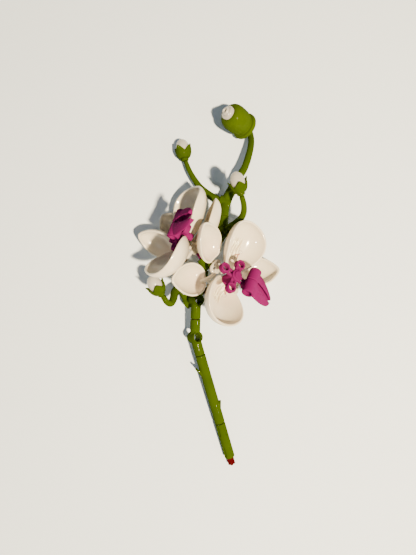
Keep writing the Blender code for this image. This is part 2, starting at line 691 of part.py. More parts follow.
# Each petal: flower, name, shape, centre, the ways its tip and its hollow point, and the points
# its stalk runs through on its way to the flower's mount
PETALS = [
    (RIGHT, "upper_petal", PETAL, (22.0, 17.5, 26.6), (0.36, 0.93, 0.11), (0.59, -0.31, 0.75),
     [(13.8, 2.3, 22.3)]),
    (RIGHT, "lower_petal", PETAL, (10.9, -12.4, 31.0), (-0.28, -0.58, 0.76), (0.77, 0.34, 0.54),
     [(13.0, -4.0, 16.0), (12.0, -4.0, 16.0)]),
    (RIGHT, "upper_sepal", SEPAL, (1.9, 19.8, 34.0), (-0.22, 0.75, 0.63), (0.80, -0.24, 0.56),
     [(3.0, 10.0, 24.0), (8.0, 4.0, 25.0), (9.0, 3.0, 26.0)]),
    (RIGHT, "left_sepal", SEPAL, (-9.5, -1.1, 30.0), (-0.73, -0.02, 0.68), (0.68, 0.06, 0.73),
     [(-1.0, -1.0, 19.0), (3.0, -5.0, 15.0)]),
    (RIGHT, "right_sepal", SEPAL, (31.9, 4.0, 12.6), (0.99, 0.12, -0.11), (0.05, 0.43, 0.90),
     [(19.0, 2.0, 12.0), (14.2, 0.8, 16.8)]),
    (LEFT, "upper_petal", PETAL, (-13.1, 40.7, 22.8), (0.24, 0.97, 0.06), (-0.86, 0.18, 0.48),
     [(-14.0, 24.0, 20.0)]),
    (LEFT, "lower_petal", PETAL, (-23.3, 13.8, 36.5), (-0.30, -0.49, 0.82), (-0.64, 0.74, 0.21),
     [(-16.0, 20.0, 22.0)]),
    (LEFT, "left_sepal", SEPAL, (-31.5, 20.7, 16.4), (-0.92, 0.38, -0.10), (-0.33, -0.60, 0.73),
     [(-19.0, 17.0, 16.0), (-15.0, 19.0, 19.0)]),
    (LEFT, "back_sepal", SEPAL, (-20.7, 30.6, 8.2), (-0.68, 0.72, -0.12), (-0.18, -0.01, 0.98),
     [(-11.0, 21.0, 8.0), (-12.0, 22.0, 15.0), (-12.0, 22.0, 17.0)]),
    (LEFT, "right_sepal", SEPAL, (-0.4, 35.3, 22.0), (0.29, 0.95, 0.13), (-0.95, 0.27, 0.18),
     [(-2.2, 21.9, 20.1), (-9.0, 21.0, 22.0)]),
]

# The points a mount's neck runs through, from the collar behind the hub to its cross tube
RIGHT_NECK = [(10.0, -2.0, 25.0), (13.0, 0.0, 22.0), (13.0, 0.0, 19.0), (12.0, 0.0, 18.0),
              (6.0, -4.0, 13.0)]
LEFT_NECK = [(-14.6, 24.5, 31.6), (-15.0, 24.1, 29.0), (-15.0, 24.0, 25.0), (-12.0, 20.0, 20.0)]


def build_mount(flower, collar_length, neck, neck_radius, tail, tail_axis):
    """The cream collar behind a hub, its neck, and the cross tube that takes the stem's pin."""
    placement = flower.placement()
    start = -flower.barrel - GAP
    collar = lathe([(MOUNT_RADIUS, start), (MOUNT_RADIUS, start - collar_length)], 14)
    body = make_object(flower.name + "_mount", collar, CREAM, placement)
    half = Vector(tail_axis).normalized() * TAIL_LENGTH / 2
    inside = flower.at(0.0, 0.0, start - collar_length / 2)
    route = [inside] + [Vector(point) for point in neck] + [Vector(tail)]
    joined = [rod("tail", Vector(tail) - half, Vector(tail) + half, TAIL_BORE + 1.1, CREAM, 14),
              sweep("neck", route, lambda t: neck_radius, CREAM, 10)]
    boolean(body, joined, "UNION")
    cut = rod("bore", Vector(tail) - half * 1.4, Vector(tail) + half * 1.4, TAIL_BORE, CREAM, 12)
    return boolean(body, [cut], "DIFFERENCE")


def build_pin(name, hub, hub_length, tail, kind):
    """A round pin with a thick end in a hub's bore and a thin end in a mount's cross tube."""
    reach = Vector(tail) - Vector(hub)
    inner = hub_length / 2
    thick = BORE_RADIUS - 0.2
    profile = [(thick, 0.5 - inner), (thick, inner), (PIN_RADIUS, inner + 0.2),
               (PIN_RADIUS, reach.length + TAIL_LENGTH / 2 - 0.4)]
    make_object(name, lathe(profile, 12), kind, frame_matrix(hub, reach))


def build_links():
    """The side hub behind the second bend, and the pins that carry the two flowers."""
    bend("side_bend", SIDE_HUB, SIDE_HUB_AXIS, [(SIDE_ARM_END, False)], SIDE_HUB_LENGTH)
    build_pin("side_pin", SIDE_HUB, SIDE_HUB_LENGTH, RIGHT_TAIL, BROWN)
    build_mount(RIGHT, 1.5, RIGHT_NECK, 1.6, RIGHT_TAIL, Vector(RIGHT_TAIL) - Vector(SIDE_HUB))
    build_pin("left_pin", HUB_3, HUB_LENGTH, LEFT_TAIL, MAGENTA)
    build_mount(LEFT, 0.6, LEFT_NECK, 1.2, LEFT_TAIL, Vector(LEFT_TAIL) - Vector(HUB_3))


def build_handle():
    """The small curved bar with a ring at each end, between the two sepals and the right hub."""
    rings = ((5.7, 8.9, 29.4), (4.8, 3.8, 27.0))
    handle = sweep("right_handle", spline(HANDLE_ROUTE, 3), lambda t: HANDLE_RADIUS, CREAM, 8)
    joined = []
    for centre in rings:
        start = Vector(centre) - Vector((0.55, 0.26, 0.78)) * 1.2
        joined.append(rod("ring", start, Vector(centre) + (Vector(centre) - start), 1.75, CREAM, 12))
    return boolean(handle, joined, "UNION")


HANDLE_ROUTE = [(5.3, 9.0, 29.2), (3.9, 8.4, 29.0), (2.2, 6.2, 28.2), (2.5, 3.8, 27.2), (4.3, 3.5, 27.0)]


def build_flower(flower):
    build_hub(flower)
    build_lip_pin(flower)
    build_claw(flower, "left")
    build_claw(flower, "right")


def build_petals():
    for flower, name, shape, centre, tip, opening, route in PETALS:
        build_petal(flower.name + "_" + name, shape, centre, tip, opening, route)


def rest_on_origin():
    """Move the whole spray so that its box stands centred on the origin."""
    bpy.context.view_layer.update()
    graph = bpy.context.evaluated_depsgraph_get()
    corners = []
    pieces = [item for item in bpy.data.objects if item.type == "MESH"]
    for item in pieces:
        mesh = item.evaluated_get(graph).to_mesh()
        corners += [item.matrix_world @ vertex.co for vertex in mesh.vertices]
    low = [min(corner[axis] for corner in corners) for axis in range(3)]
    high = [max(corner[axis] for corner in corners) for axis in range(3)]
    whole = bpy.data.objects.new("spray", None)
    bpy.context.scene.collection.objects.link(whole)
    for item in pieces:
        item.parent = whole
    whole.location = (-(low[0] + high[0]) / 2, -(low[1] + high[1]) / 2, -low[2])
    bpy.context.view_layer.update()


def main():
    clear_scene()
    build_stem()
    build_bud_stems()
    build_buds()
    build_top_bud()
    build_flower(RIGHT)
    build_flower(LEFT)
    build_links()
    build_handle()
    build_petals()
    rest_on_origin()


main()
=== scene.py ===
"""Finished looks of a toy moth orchid spray in glossy plastic, with its floor, light and camera.

Lengths are millimetres until frame_point. They are measured from the spot below the camera,
X to the image's right, Y up the image, Z from the floor towards the camera.
"""

from math import acos, cos, exp, pi, radians, sin, sqrt

import bmesh
import bpy
from mathutils import Matrix, Vector


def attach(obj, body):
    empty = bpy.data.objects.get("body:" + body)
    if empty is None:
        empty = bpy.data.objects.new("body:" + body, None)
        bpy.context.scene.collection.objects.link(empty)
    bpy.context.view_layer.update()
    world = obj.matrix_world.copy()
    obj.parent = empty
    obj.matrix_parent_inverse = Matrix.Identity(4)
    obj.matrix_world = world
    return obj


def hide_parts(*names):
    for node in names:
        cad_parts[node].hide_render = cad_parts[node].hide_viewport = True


MM = 0.001
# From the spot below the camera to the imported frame's own zero point
SHIFT = Vector((-0.762, 7.349, -0.126))
CAMERA_HEIGHT = 278.5
SENSOR = 36.0
LENS = 27.03
# Small enough to count as nothing
TINY = 0.0001

# The jointed stem
HUB_RADIUS = 3.7
HUB_LENGTH = 8.0
ARM_RADIUS = 3.25
BORE_RADIUS = 2.55
BORE_DEPTH = 6.5
AXLE_RADIUS = 2.4
AXLE_RIB = 1.8
AXLE_OUT = 5.2
PEG_RADIUS = 2.2
PEG_LENGTH = 6.0
STEM_RADIUS = 3.35
SCALE_SUNK = 1.3
SCALE_BELOW = 2.6
SCALE_ABOVE = 4.0
CONNECTOR_LENGTH = 24.0
FLUTE_RADIUS = 1.15
FLUTE_LENGTH = 6.5
FLUTE_OUT = STEM_RADIUS + 0.55
# Room left between pieces that meet
GAP = 0.3
ARM_LENGTH = 12.0
COUNTERBORE = 0.45
COUNTERBORE_DEPTH = 0.9

CUT_END = Vector((14.4, -118.2, 3.42))
HUB_1 = Vector((-8.4, -38.3, 10.6))
HUB_2 = Vector((-7.5, -14.3, 13.0))
HUB_3 = Vector((-1.6, 9.1, 16.0))
HUB_4 = Vector((8.8, 27.8, 18.0))
HUB_5 = Vector((10.9, 48.5, 9.0))
# The way in which each hub's bore runs
HUB_AXES = {
    "lower_bend": (0.57, 0.1, 0.82),
    "second_bend": (0.55, 0.05, 0.83),
    "third_bend": (-0.59, 0.80, 0.105),
    "fourth_bend": (0.72, 0.50, 0.45),
    "upper_bend": (-0.93, 0.33, 0.0),
}
SIDE_HUB = Vector((-12.7, -16.0, 4.9))
SIDE_HUB_AXIS = (0.807, 0.553, 0.208)
SIDE_HUB_LENGTH = 5.4
SIDE_ARM_END = (-18.1, -5.2, 5.0)

# Petals and sepals
PETAL = {"width": 29.9, "length": 33.0, "depth": 9.0, "taper": 0.19, "saddle": 2.7,
         "point": 0.0, "base_cut": 1.3}
SEPAL = {"width": 19.6, "length": 24.6, "depth": 6.1, "taper": -0.06, "saddle": 0.4,
         "point": 1.7, "base_cut": 1.0}
WALL = 1.2
RIM_DROP = 0.45
RIM_STEPS = 7
BOWL_FULLNESS = 1.2
BOWL_SPREAD = 0.769
STALK_RADIUS = 1.3
STALK_SINK = 0.9

# The lip and what carries a flower
DISC_RADIUS = 3.4
DISC_FACE_RADIUS = 2.3
DISC_STEP = 0.75
RING_RADIUS = 3.15
RING_BORE = 1.9
LIP_NECK_RADIUS = 1.2
RING_REACH = 8.5
RING_TOP = -1.4
RING_HEIGHT = 3.4
STRUT = 1.5
STRUT_LENGTH = 4.2
STRUT_MIDDLE = 4.5
STRUT_LEVEL = -3.0
STRUT_ASIDE = 1.4
REAR_BARREL_RADIUS = 2.2
CLAW_BARREL_RADIUS = 3.6
CLAW_BARREL_LENGTH = 8.4
CLAW_START = 0.6
CLAW_REACH = 19.5
CLAW_WIDTH = 8.3
CLAW_TIP = 3.1
CLAW_TOP = 3.1
CLAW_FALL = 2.05
CLAW_CURVE = 1.4
# Each blade's inner edge stands aside by this much at its ends, and more between them
CLAW_ASIDE = 0.8
CLAW_PARTING = 0.75
CLAW_WALL = 4.8
CLAW_WALL_LOSS = 2.2
CLAW_POCKET = 1.8
# Small pips on a blade: along its reach, and across it
PIPS = ((6.0, 2.6), (8.2, 3.6), (8.0, 1.6), (10.4, 2.6), (5.8, 4.4))
LIP_PIN_RADIUS = 1.5
LIP_PIN_SHORT = 1.6
MOUNT_RADIUS = 1.7
TAIL_LENGTH = 6.4
TAIL_BORE = 1.85
TAIL_RADIUS = TAIL_BORE + 1.1
PIN_RADIUS = 1.6
HANDLE_RADIUS = 1.05
HANDLE_RING_RADIUS = 1.75

# Buds
EGG_RADIUS = 4.35
EGG_HALF_LENGTH = 5.6
CUP_ROOM = 0.3
CUP_WALL = 1.0
CUP_FLOOR = 0.35
CUP_WAIST = 5.2
CUP_ROUNDNESS = 5.7
CUP_HEIGHT = 7.2
CUP_NOTCH = 3.4
CUP_SPLAY = 0.28
CUP_FOOT = 2.6
EGG_LIFT = CUP_FOOT + CUP_FLOOR + GAP + EGG_HALF_LENGTH
TIP_WIND = 2.6
TIP_RELIEF = 0.6

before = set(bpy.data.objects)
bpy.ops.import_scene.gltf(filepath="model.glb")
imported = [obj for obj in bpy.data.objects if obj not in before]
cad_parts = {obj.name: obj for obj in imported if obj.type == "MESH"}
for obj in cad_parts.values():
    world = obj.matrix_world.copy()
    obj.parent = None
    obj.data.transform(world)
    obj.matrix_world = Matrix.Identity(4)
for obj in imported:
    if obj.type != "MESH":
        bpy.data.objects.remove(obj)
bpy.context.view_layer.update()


# The materials

class Nodes:
    """A short way to add and link the nodes of one material."""

    def __init__(self, name):
        self.material = bpy.data.materials.new(name)
        self.material.use_nodes = True
        self.tree = self.material.node_tree
        self.shader = self.tree.nodes["Principled BSDF"]

    def add(self, kind, settings=(), **inputs):
        node = self.tree.nodes.new(kind)
        for key, value in dict(settings).items():
            setattr(node, key, value)
        for key, value in inputs.items():
            self.feed(node, key.replace("_", " "), value)
        return node

    def feed(self, node, socket, value):
        """Give an input a number or colour, or another node's output."""
        target = node.inputs[int(socket)] if socket.isdigit() else node.inputs[socket]
        if isinstance(value, bpy.types.NodeSocket):
            self.tree.links.new(value, target)
        else:
            target.default_value = value

    def surface(self, socket, value):
        self.feed(self.shader, socket, value)

    def math(self, operation, first, second=0.0, third=0.0):
        node = self.tree.nodes.new("ShaderNodeMath")
        node.operation = operation
        for i, value in enumerate((first, second, third)):
            self.feed(node, str(i), value)
        return node.outputs[0]

    def plus(self, first, second):
        return self.math("ADD", first, second)

    def times(self, first, second):
        return self.math("MULTIPLY", first, second)

    def spread(self, value, low, high, to_low=0.0, to_high=1.0):
        """Map a range of value smoothly to another range."""
        node = self.tree.nodes.new("ShaderNodeMapRange")
        node.interpolation_type = "SMOOTHSTEP"
        for i, item in enumerate((value, low, high, to_low, to_high)):
            self.feed(node, str(i), item)
        return node.outputs[0]

    def distance(self, x, y):
        """Distance in a plane from its zero point."""
        return self.math("SQRT", self.plus(self.times(x, x), self.times(y, y)))

    def window(self, value, middle, half, soft):
        """1 within half of the middle, falling to 0 over soft beyond."""
        away = self.math("ABSOLUTE", self.math("SUBTRACT", value, middle))
        return self.spread(away, half + soft, half)

    def patch(self, x, y, across, along):
        """1 inside a soft box, whose two ways are each a window's middle, half and soft."""
        return self.times(self.window(x, *across), self.window(y, *along))

    def noise(self, vector, scale, detail=2.0, roughness=0.5):
        node = self.add("ShaderNodeTexNoise", Scale=scale, Detail=detail, Roughness=roughness)
        self.feed(node, "Vector", vector)
        return node.outputs["Fac"]

    def mix(self, share, first, second):
        node = self.tree.nodes.new("ShaderNodeMix")
        node.data_type = "RGBA"
        self.feed(node, "0", share)
        self.feed(node, "6", first)
        self.feed(node, "7", second)
        return node.outputs[2]

    def attribute(self, name):
        """The three numbers of a vertex attribute."""
        source = self.add("ShaderNodeAttribute", {"attribute_name": name})
        split = self.add("ShaderNodeSeparateXYZ")
        self.feed(split, "0", source.outputs["Vector"])
        return split.outputs

    def bump(self, height, strength, normal=None):
        """Tilt the surface as a height between 0 and 1 would."""
        node = self.add("ShaderNodeBump", Strength=strength, Distance=BUMP_DEPTH)
        if normal is not None:
            self.feed(node, "Normal", normal)
        self.feed(node, "Height", height)
        self.surface("Normal", node.outputs["Normal"])
        return node.outputs["Normal"]


def rgb(red, green, blue):
    return (red, green, blue, 1.0)


BUMP_DEPTH = 0.0004
COAT_ROUGHNESS = 0.05
COAT_FADING = 1.5
DUST = rgb(0.80, 0.74, 0.62)
# Painted reflection: a pinkish tint on the petals' inner face near the foot, standing in for light bounced
# off the magenta hub
PAINTED_PINK_REFLECTION = rgb(0.66, 0.48, 0.40)
PAINTED_REFLECTION_REACH = 17.0
PAINTED_REFLECTION_FULL = 4.0
# The crest's ridges: the valleys' darker brown is painted shade, and the ridges' bright colour is a pale
# yellow tint with painted highlight
VALLEY_PAINTED_SHADE = rgb(0.50, 0.39, 0.26)
RIDGE_TINT_AND_HIGHLIGHT = rgb(0.98, 0.92, 0.66)
# The darker line round the crest's ring bump is painted shade at its edge
CREST_RING_PAINTED_SHADE = rgb(0.36, 0.33, 0.28)
CREST_RING_RADIUS = 1.2
# Painted shadow: the ring holder's dark contact shadow on the petal, reddened by light bounced off the
# magenta
RING_HOLDER_SHADOW_PAINT = rgb(0.30, 0.12, 0.07)


def plastic(name, tone, lighter, roughness, shine, coat, worn=0.25, glow=0.0):
    """Glossy moulded plastic: cloudy tone, dust, rubbed edges, smudged gloss and a slight ripple."""
    made = Nodes(name)
    place = made.add("ShaderNodeTexCoord").outputs["Object"]
    millimetres = made.add("ShaderNodeVectorMath", {"operation": "SCALE"}, Scale=1.0 / MM)
    made.feed(millimetres, "0", place)
    where = millimetres.outputs[0]

    cloud = made.spread(made.noise(where, scale=0.09, detail=3.0), low=0.3, high=0.7)
    speckle = made.noise(where, scale=1.9, detail=4.0, roughness=0.65)
    speckle = made.spread(speckle, low=0.35, high=0.7, to_high=0.3)
    colour = made.mix(made.times(made.plus(cloud, speckle), 0.8), tone, lighter)
    edge = made.spread(made.add("ShaderNodeNewGeometry").outputs["Pointiness"], low=0.51, high=0.60)
    colour = made.mix(made.times(edge, worn), colour, lighter)
    dust = made.spread(made.noise(where, scale=3.1, detail=2.0, roughness=0.4), low=0.735, high=0.775)
    colour = made.mix(made.times(dust, 0.10), colour, DUST)
    made.surface("Base Color", colour)

    smudge = made.noise(where, scale=0.33, detail=5.0, roughness=0.6)
    smudge = made.spread(smudge, low=0.35, high=0.7, to_high=0.05)
    gloss = made.plus(smudge, made.times(dust, 0.3))
    made.surface("Roughness", made.plus(gloss, roughness))
    ripple = made.plus(made.times(made.noise(where, scale=0.12, detail=1.0), 0.5),
                       made.times(made.noise(where, scale=5.5, detail=3.0), 0.008))
    made.colour, made.where, made.normal = colour, where, made.bump(ripple, strength=0.15)
    made.surface("IOR", 1.5)
    made.surface("Specular IOR Level", shine)
    # The clear gloss fades toward the outline, where it would mirror the bright floor
    facing = made.add("ShaderNodeLayerWeight", Blend=0.5).outputs["Facing"]
    fading = made.math("POWER", made.math("SUBTRACT", 1.0, facing), COAT_FADING)
    made.surface("Coat Weight", made.times(fading, coat))
    made.surface("Coat Roughness", COAT_ROUGHNESS)
    if glow:
        made.surface("Subsurface Weight", glow)
        made.surface("Subsurface Radius", (1.0, 0.8, 0.65))
        made.surface("Subsurface Scale", MM)
    return made


def crest(made, colour, inner):
    """Add a petal's crest: a fan of ridges with painted highlight and shade, a ring bump outlined in
    painted shade, and the ring holder's reddish painted shadow shaped as a bar and a leg.
    """
    aside, ahead = made.attribute("crest_place")[:2]
    fan = made.add("ShaderNodeCombineXYZ", X=made.times(aside, 0.95), Y=made.times(ahead, 0.17))
    ridge = made.spread(made.noise(fan.outputs[0], scale=1.0), low=0.42, high=0.60)
    field = made.times(made.patch(aside, ahead, (4.2, 2.6, 1.6), (1.0, 5.0, 3.5)), inner)
    # Painted shade in the valleys, and a pale yellow tint with painted highlight on the ridges
    colour = made.mix(made.times(field, 0.85), colour, made.mix(ridge, VALLEY_PAINTED_SHADE, RIDGE_TINT_AND_HIGHLIGHT))
    ring = made.window(made.distance(aside, ahead), middle=CREST_RING_RADIUS, half=0.1, soft=0.22)
    ring = made.times(ring, inner)
    # Painted shade along the edge of the ring bump
    colour = made.mix(made.times(ring, 0.4), colour, CREST_RING_PAINTED_SHADE)
    # A painted shadow of the ring holder, reddish with magenta bounce, drawn as a wobbly bar and a leg
    wobble = made.times(made.plus(made.noise(made.where, scale=0.9), -0.5), 1.2)
    tilted = made.plus(made.plus(ahead, made.times(aside, 0.5)), wobble)
    bar = made.patch(aside, tilted, (1.6, 1.5, 0.5), (-1.2, 0.35, 0.4))
    leg = made.patch(aside, ahead, (0.9, 0.3, 0.4), (-3.0, 1.2, 0.5))
    painted_shadow = made.times(made.math("MAXIMUM", bar, leg), inner)
    colour = made.mix(made.times(painted_shadow, 0.85), colour, RING_HOLDER_SHADOW_PAINT)
    return colour, made.plus(made.times(ridge, field), made.times(ring, 0.5))


def petal_plastic(name, tone, lighter, crested):
    """Cream plastic with a painted pinkish reflection of the magenta hub at the petal's foot and, on a
    crested one, the crest.
    """
    made = plastic(name, tone, lighter, roughness=0.13, worn=0.2, glow=0.1, shine=0.4, coat=0.5)
    across, along, inner = made.attribute("petal_place")
    # Painted pinkish reflection of the magenta hub, strongest at the foot of the inner face
    painted_reflection = made.spread(made.distance(across, along), PAINTED_REFLECTION_REACH, PAINTED_REFLECTION_FULL)
    colour = made.mix(made.times(made.times(painted_reflection, inner), 0.4), made.colour, PAINTED_PINK_REFLECTION)
    if crested:
        colour, height = crest(made, colour, inner)
        made.bump(height, strength=0.9, normal=made.normal)
    made.surface("Base Color", colour)
    return made


GREEN = plastic("lime green moulded plastic", rgb(0.027, 0.050, 0.0005), rgb(0.034, 0.060, 0.0008),
                roughness=0.16, shine=0.0, coat=0.12).material
LIGHT_GREEN = plastic("light green bud plastic", rgb(0.038, 0.066, 0.0009), rgb(0.046, 0.076, 0.0014),
                      roughness=0.16, shine=0.0, coat=0.15).material
CREAM = petal_plastic("cream white petal plastic", rgb(0.67, 0.60, 0.48), rgb(0.72, 0.65, 0.52),
                      crested=True).material
SEPAL_CREAM = petal_plastic("cream white sepal plastic", rgb(0.65, 0.59, 0.48), rgb(0.70, 0.64, 0.52),
                            crested=False).material
IVORY = plastic("cream white connector plastic", rgb(0.46, 0.41, 0.33), rgb(0.54, 0.48, 0.39),
                roughness=0.15, glow=0.1, shine=0.35, coat=0.3).material
WHITE = plastic("white bud plastic", rgb(0.38, 0.36, 0.32), rgb(0.44, 0.42, 0.38),
                roughness=0.14, glow=0.1, shine=0.45, coat=0.5).material
MAGENTA = plastic("magenta moulded plastic", rgb(0.135, 0.006, 0.072), rgb(0.155, 0.009, 0.086),
                  roughness=0.16, shine=0.0, coat=0.10).material
RED = plastic("dark red moulded plastic", rgb(0.040, 0.0010, 0.0015), rgb(0.060, 0.002, 0.003),
              roughness=0.16, shine=0.0, coat=0.12).material
BROWN = plastic("dark brown moulded plastic", rgb(0.030, 0.014, 0.005), rgb(0.05, 0.025, 0.01),
                roughness=0.2, shine=0.02, coat=0.1).material


# The mesh helpers

def frame_point(point):
    """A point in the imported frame's own axes and in metres."""
    return (Vector(point) + SHIFT) * MM


def axes(origin, z_axis, x_hint=(1.0, 0.0, 0.0)):
    """Placement whose local Z runs along z_axis and local X leans toward x_hint."""
    z = Vector(z_axis).normalized()
    x = Vector(x_hint) - z * z.dot(Vector(x_hint))
    if x.length < TINY:
        x = z.orthogonal()
    x.normalize()
    return Matrix.Translation(origin) @ Matrix((x, z.cross(x), z)).transposed().to_4x4()


def bridge(builder, lower, upper):
    """Faces between two closed loops, where either may be a single point."""
    count = max(len(lower), len(upper))
    for i in range(count):
        j = (i + 1) % count
        if len(lower) == 1:
            builder.faces.new((lower[0], upper[j], upper[i]))
        elif len(upper) == 1:
            builder.faces.new((lower[i], lower[j], upper[0]))
        else:
            builder.faces.new((lower[i], lower[j], upper[j], upper[i]))


def skin(builder, loops):
    """Faces between neighbouring loops, and one on each end that is more than a point."""
    for lower, upper in zip(loops, loops[1:]):
        bridge(builder, lower, upper)
    for end in (loops[0], loops[-1]):
        if len(end) > 1:
            builder.faces.new(end)


def round_loop(builder, sides, place, *settings):
    """A loop round Z, where place gives the radius and the height at each angle."""
    loop = []
    for i in range(sides):
        around = 2 * pi * i / sides
        radius, height = place(around, *settings)
        loop.append(builder.verts.new((radius * cos(around), radius * sin(around), height)))
    return loop


def bar_profile(radius, low, high):
    """The (radius, height) corners of a plain round bar."""
    return [(0.0, low), (radius, low), (radius, high), (0.0, high)]


def rounded(profile, radius=0.3, steps=4):
    """Round the corners of a (radius, height) profile with short arcs."""
    points = [Vector(p) for p in profile]
    found = [points[0]]
    for before, corner, after in zip(points, points[1:], points[2:]):
        reach = min(radius, (before - corner).length * 0.45, (after - corner).length * 0.45)
        start = corner + (before - corner).normalized() * reach
        end = corner + (after - corner).normalized() * reach
        for i in range(steps + 1):
            t = i / steps
            found.append(start * (1 - t) ** 2 + corner * 2 * t * (1 - t) + end * t * t)
    return found + [points[-1]]


def lathe(profile, sides=64, placement=None):
    """Turn (radius, height) points round Z; a radius of 0 closes the end in one point."""
    builder = bmesh.new()
    loops = []
    for radius, height in profile:
        if radius < TINY:
            loops.append([builder.verts.new((0.0, 0.0, height))])
        else:
            loops.append(round_loop(builder, sides, lambda around: (radius, height)))
    skin(builder, loops)
    if placement is not None:
        builder.transform(placement)
    return builder


def rod(start, end, radius, edge=0.25, sides=40):
    """A round bar between two points with its end edges rounded."""
    reach = Vector(end) - Vector(start)
    return lathe(rounded(bar_profile(radius, 0.0, reach.length), edge), sides, axes(start, reach))


def centred_rod(centre, half, radius, edge, sides):
    """A round bar that reaches by half to both sides of its centre."""
    return rod(Vector(centre) - half, Vector(centre) + half, radius, edge, sides)


def block(size, centre, placement, turn=0.0):
    """A box in a placement's own axes, turned about its Z."""
    builder = bmesh.new()
    bmesh.ops.create_cube(builder, size=1.0)
    bmesh.ops.scale(builder, vec=size, verts=builder.verts)
    bmesh.ops.translate(builder, vec=centre, verts=builder.verts)
    builder.transform(placement @ Matrix.Rotation(turn, 4, "Z"))
    return builder


def spline(points, steps):
    """Points along a Catmull-Rom curve through the route's own points."""
    route = [Vector(p) for p in points]
    route = [route[0] * 2 - route[1]] + route + [route[-1] * 2 - route[-2]]
    found = []
    for a, b, c, d in zip(route, route[1:], route[2:], route[3:]):
        for i in range(steps):
            t = i / steps
            found.append(0.5 * (2 * b + (c - a) * t + (2 * a - 5 * b + 4 * c - d) * t * t
                                + (3 * b - a - 3 * c + d) * t ** 3))
    found.append(route[-2])
    return found


def tube(points, radius_at, sides=28, squash=1.0, flat_way=None):
    """A bar with domed ends along points; squash flattens it across flat_way."""
    centres = [Vector(p) for p in points]
    count = len(centres) - 1
    tangents = [(centres[min(i + 1, count)] - centres[max(i - 1, 0)]).normalized()
                for i in range(count + 1)]
    rings = [(centre, radius_at(i / count), tangents[i]) for i, centre in enumerate(centres)]
    domes = []
    for (centre, radius, tangent), way in ((rings[0], -1), (rings[-1], 1)):
        # Each dome is flatter than a half ball
        domes.append([(centre + way * tangent * radius * 0.4 * sin(radians(angle)),
                       radius * cos(radians(angle)), tangent) for angle in (28.0, 56.0, 84.0)])
    rings = domes[0][::-1] + rings + domes[1]
    side = Vector(flat_way) if flat_way else tangents[0].orthogonal()
    builder = bmesh.new()
    loops = []
    for centre, radius, tangent in rings:
        side = (side - tangent * side.dot(tangent)).normalized()
        other = tangent.cross(side)
        loops.append([builder.verts.new(centre + radius * (cos(2 * pi * i / sides) * side * squash
                                                           + sin(2 * pi * i / sides) * other))
                      for i in range(sides)])
    skin(builder, loops)
    return builder


def toward(start, end, distance):
    """The point that lies distance from start on the way to end."""
    return Vector(start) + (Vector(end) - Vector(start)).normalized() * distance


def linked(name, data):
    """A new object of the scene."""
    item = bpy.data.objects.new(name, data)
    bpy.context.scene.collection.objects.link(item)
    return item


def scratch_object(builder):
    """An object for one step of modelling; the builder is used up."""
    bmesh.ops.recalc_face_normals(builder, faces=builder.faces)
    mesh = bpy.data.meshes.new("scratch")
    builder.to_mesh(mesh)
    builder.free()
    return linked("scratch", mesh)


def applied(item):
    """Apply an object's modifiers to its mesh."""
    bpy.context.view_layer.update()
    graph = bpy.context.evaluated_depsgraph_get()
    result = bpy.data.meshes.new_from_object(item.evaluated_get(graph))
    item.modifiers.clear()
    item.data = result


def boolean(item, builders, operation):
    """Join other solids to an object, or cut them out of it."""
    group = bpy.data.collections.new("operands")
    bpy.context.scene.collection.children.link(group)
    others = [scratch_object(builder) for builder in builders]
    for other in others:
        bpy.context.scene.collection.objects.unlink(other)
        group.objects.link(other)
    step = item.modifiers.new("Boolean", "BOOLEAN")
    step.operation = operation
    step.solver = "EXACT"
    step.operand_type = "COLLECTION"
    step.collection = group
    applied(item)
    for other in others:
        bpy.data.objects.remove(other, do_unlink=True)
    bpy.data.collections.remove(group)


def moulded(solids, cuts, voxel, rounds):
    """Join solids, cut the bores, and soften every edge as a mould does."""
    item = scratch_object(solids[0])
    if solids[1:]:
        boolean(item, solids[1:], "UNION")
    if cuts:
        boolean(item, cuts, "DIFFERENCE")
    remesh = item.modifiers.new("Remesh", "REMESH")
    remesh.mode = "VOXEL"
    remesh.voxel_size = voxel
    relax = item.modifiers.new("Smooth", "SMOOTH")
    relax.factor = 0.5
    relax.iterations = rounds
    applied(item)
    builder = bmesh.new()
    builder.from_mesh(item.data)
    bpy.data.objects.remove(item, do_unlink=True)
    return builder


def piece(node, builders, look, sharp=40.0):
    """One finished piece that stands for the CAD node of that name."""
    mesh = bpy.data.meshes.new(node + "_moulded")
    whole = bmesh.new()
    for builder in builders:
        part = bpy.data.meshes.new("part")
        bmesh.ops.recalc_face_normals(builder, faces=builder.faces)
        builder.to_mesh(part)
        builder.free()
        whole.from_mesh(part)
        bpy.data.meshes.remove(part)
    for vertex in whole.verts:
        vertex.co = frame_point(vertex.co)
    whole.to_mesh(mesh)
    whole.free()
    mesh.materials.clear()
    mesh.materials.append(look)
    mesh.shade_smooth()
    mesh.set_sharp_from_angle(angle=radians(sharp))
    item = linked(node + "_moulded", mesh)
    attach(item, "root")
    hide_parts(node)
    return item


# The stem

def arm_end(hub, neighbour):
    """Where a hub's arm ends, half way to the next hub."""
    return toward(hub, neighbour, (neighbour - hub).length / 2 - GAP / 2)


def bend(node, centre, axis, arms, length=HUB_LENGTH):
    """A bored hub with arms; each arm is its end point and whether the end has a bore."""
    way = Vector(axis).normalized()
    half = way * length / 2
    solids = [centred_rod(centre, half, HUB_RADIUS, edge=0.3, sides=48)]
    solids += [rod(centre, end, ARM_RADIUS, edge=0.3, sides=44) for end, bored in arms]
    cuts = [centred_rod(centre, half * 1.3, BORE_RADIUS, edge=TINY, sides=36)]
    # A shallow counterbore at each mouth leaves the hub's bright ring
    for sign in (-1, 1):
        face = centre + half * sign
        cuts.append(rod(face - way * sign * COUNTERBORE_DEPTH, face + way * sign,
                        BORE_RADIUS + COUNTERBORE, edge=TINY, sides=36))
    for end, bored in arms:
        if bored:
            cuts.append(rod(toward(end, centre, BORE_DEPTH), toward(end, centre, -1.0), BORE_RADIUS,
                            edge=TINY, sides=36))
    piece(node, [moulded(solids, cuts, voxel=0.27, rounds=4)], GREEN, sharp=60.0)


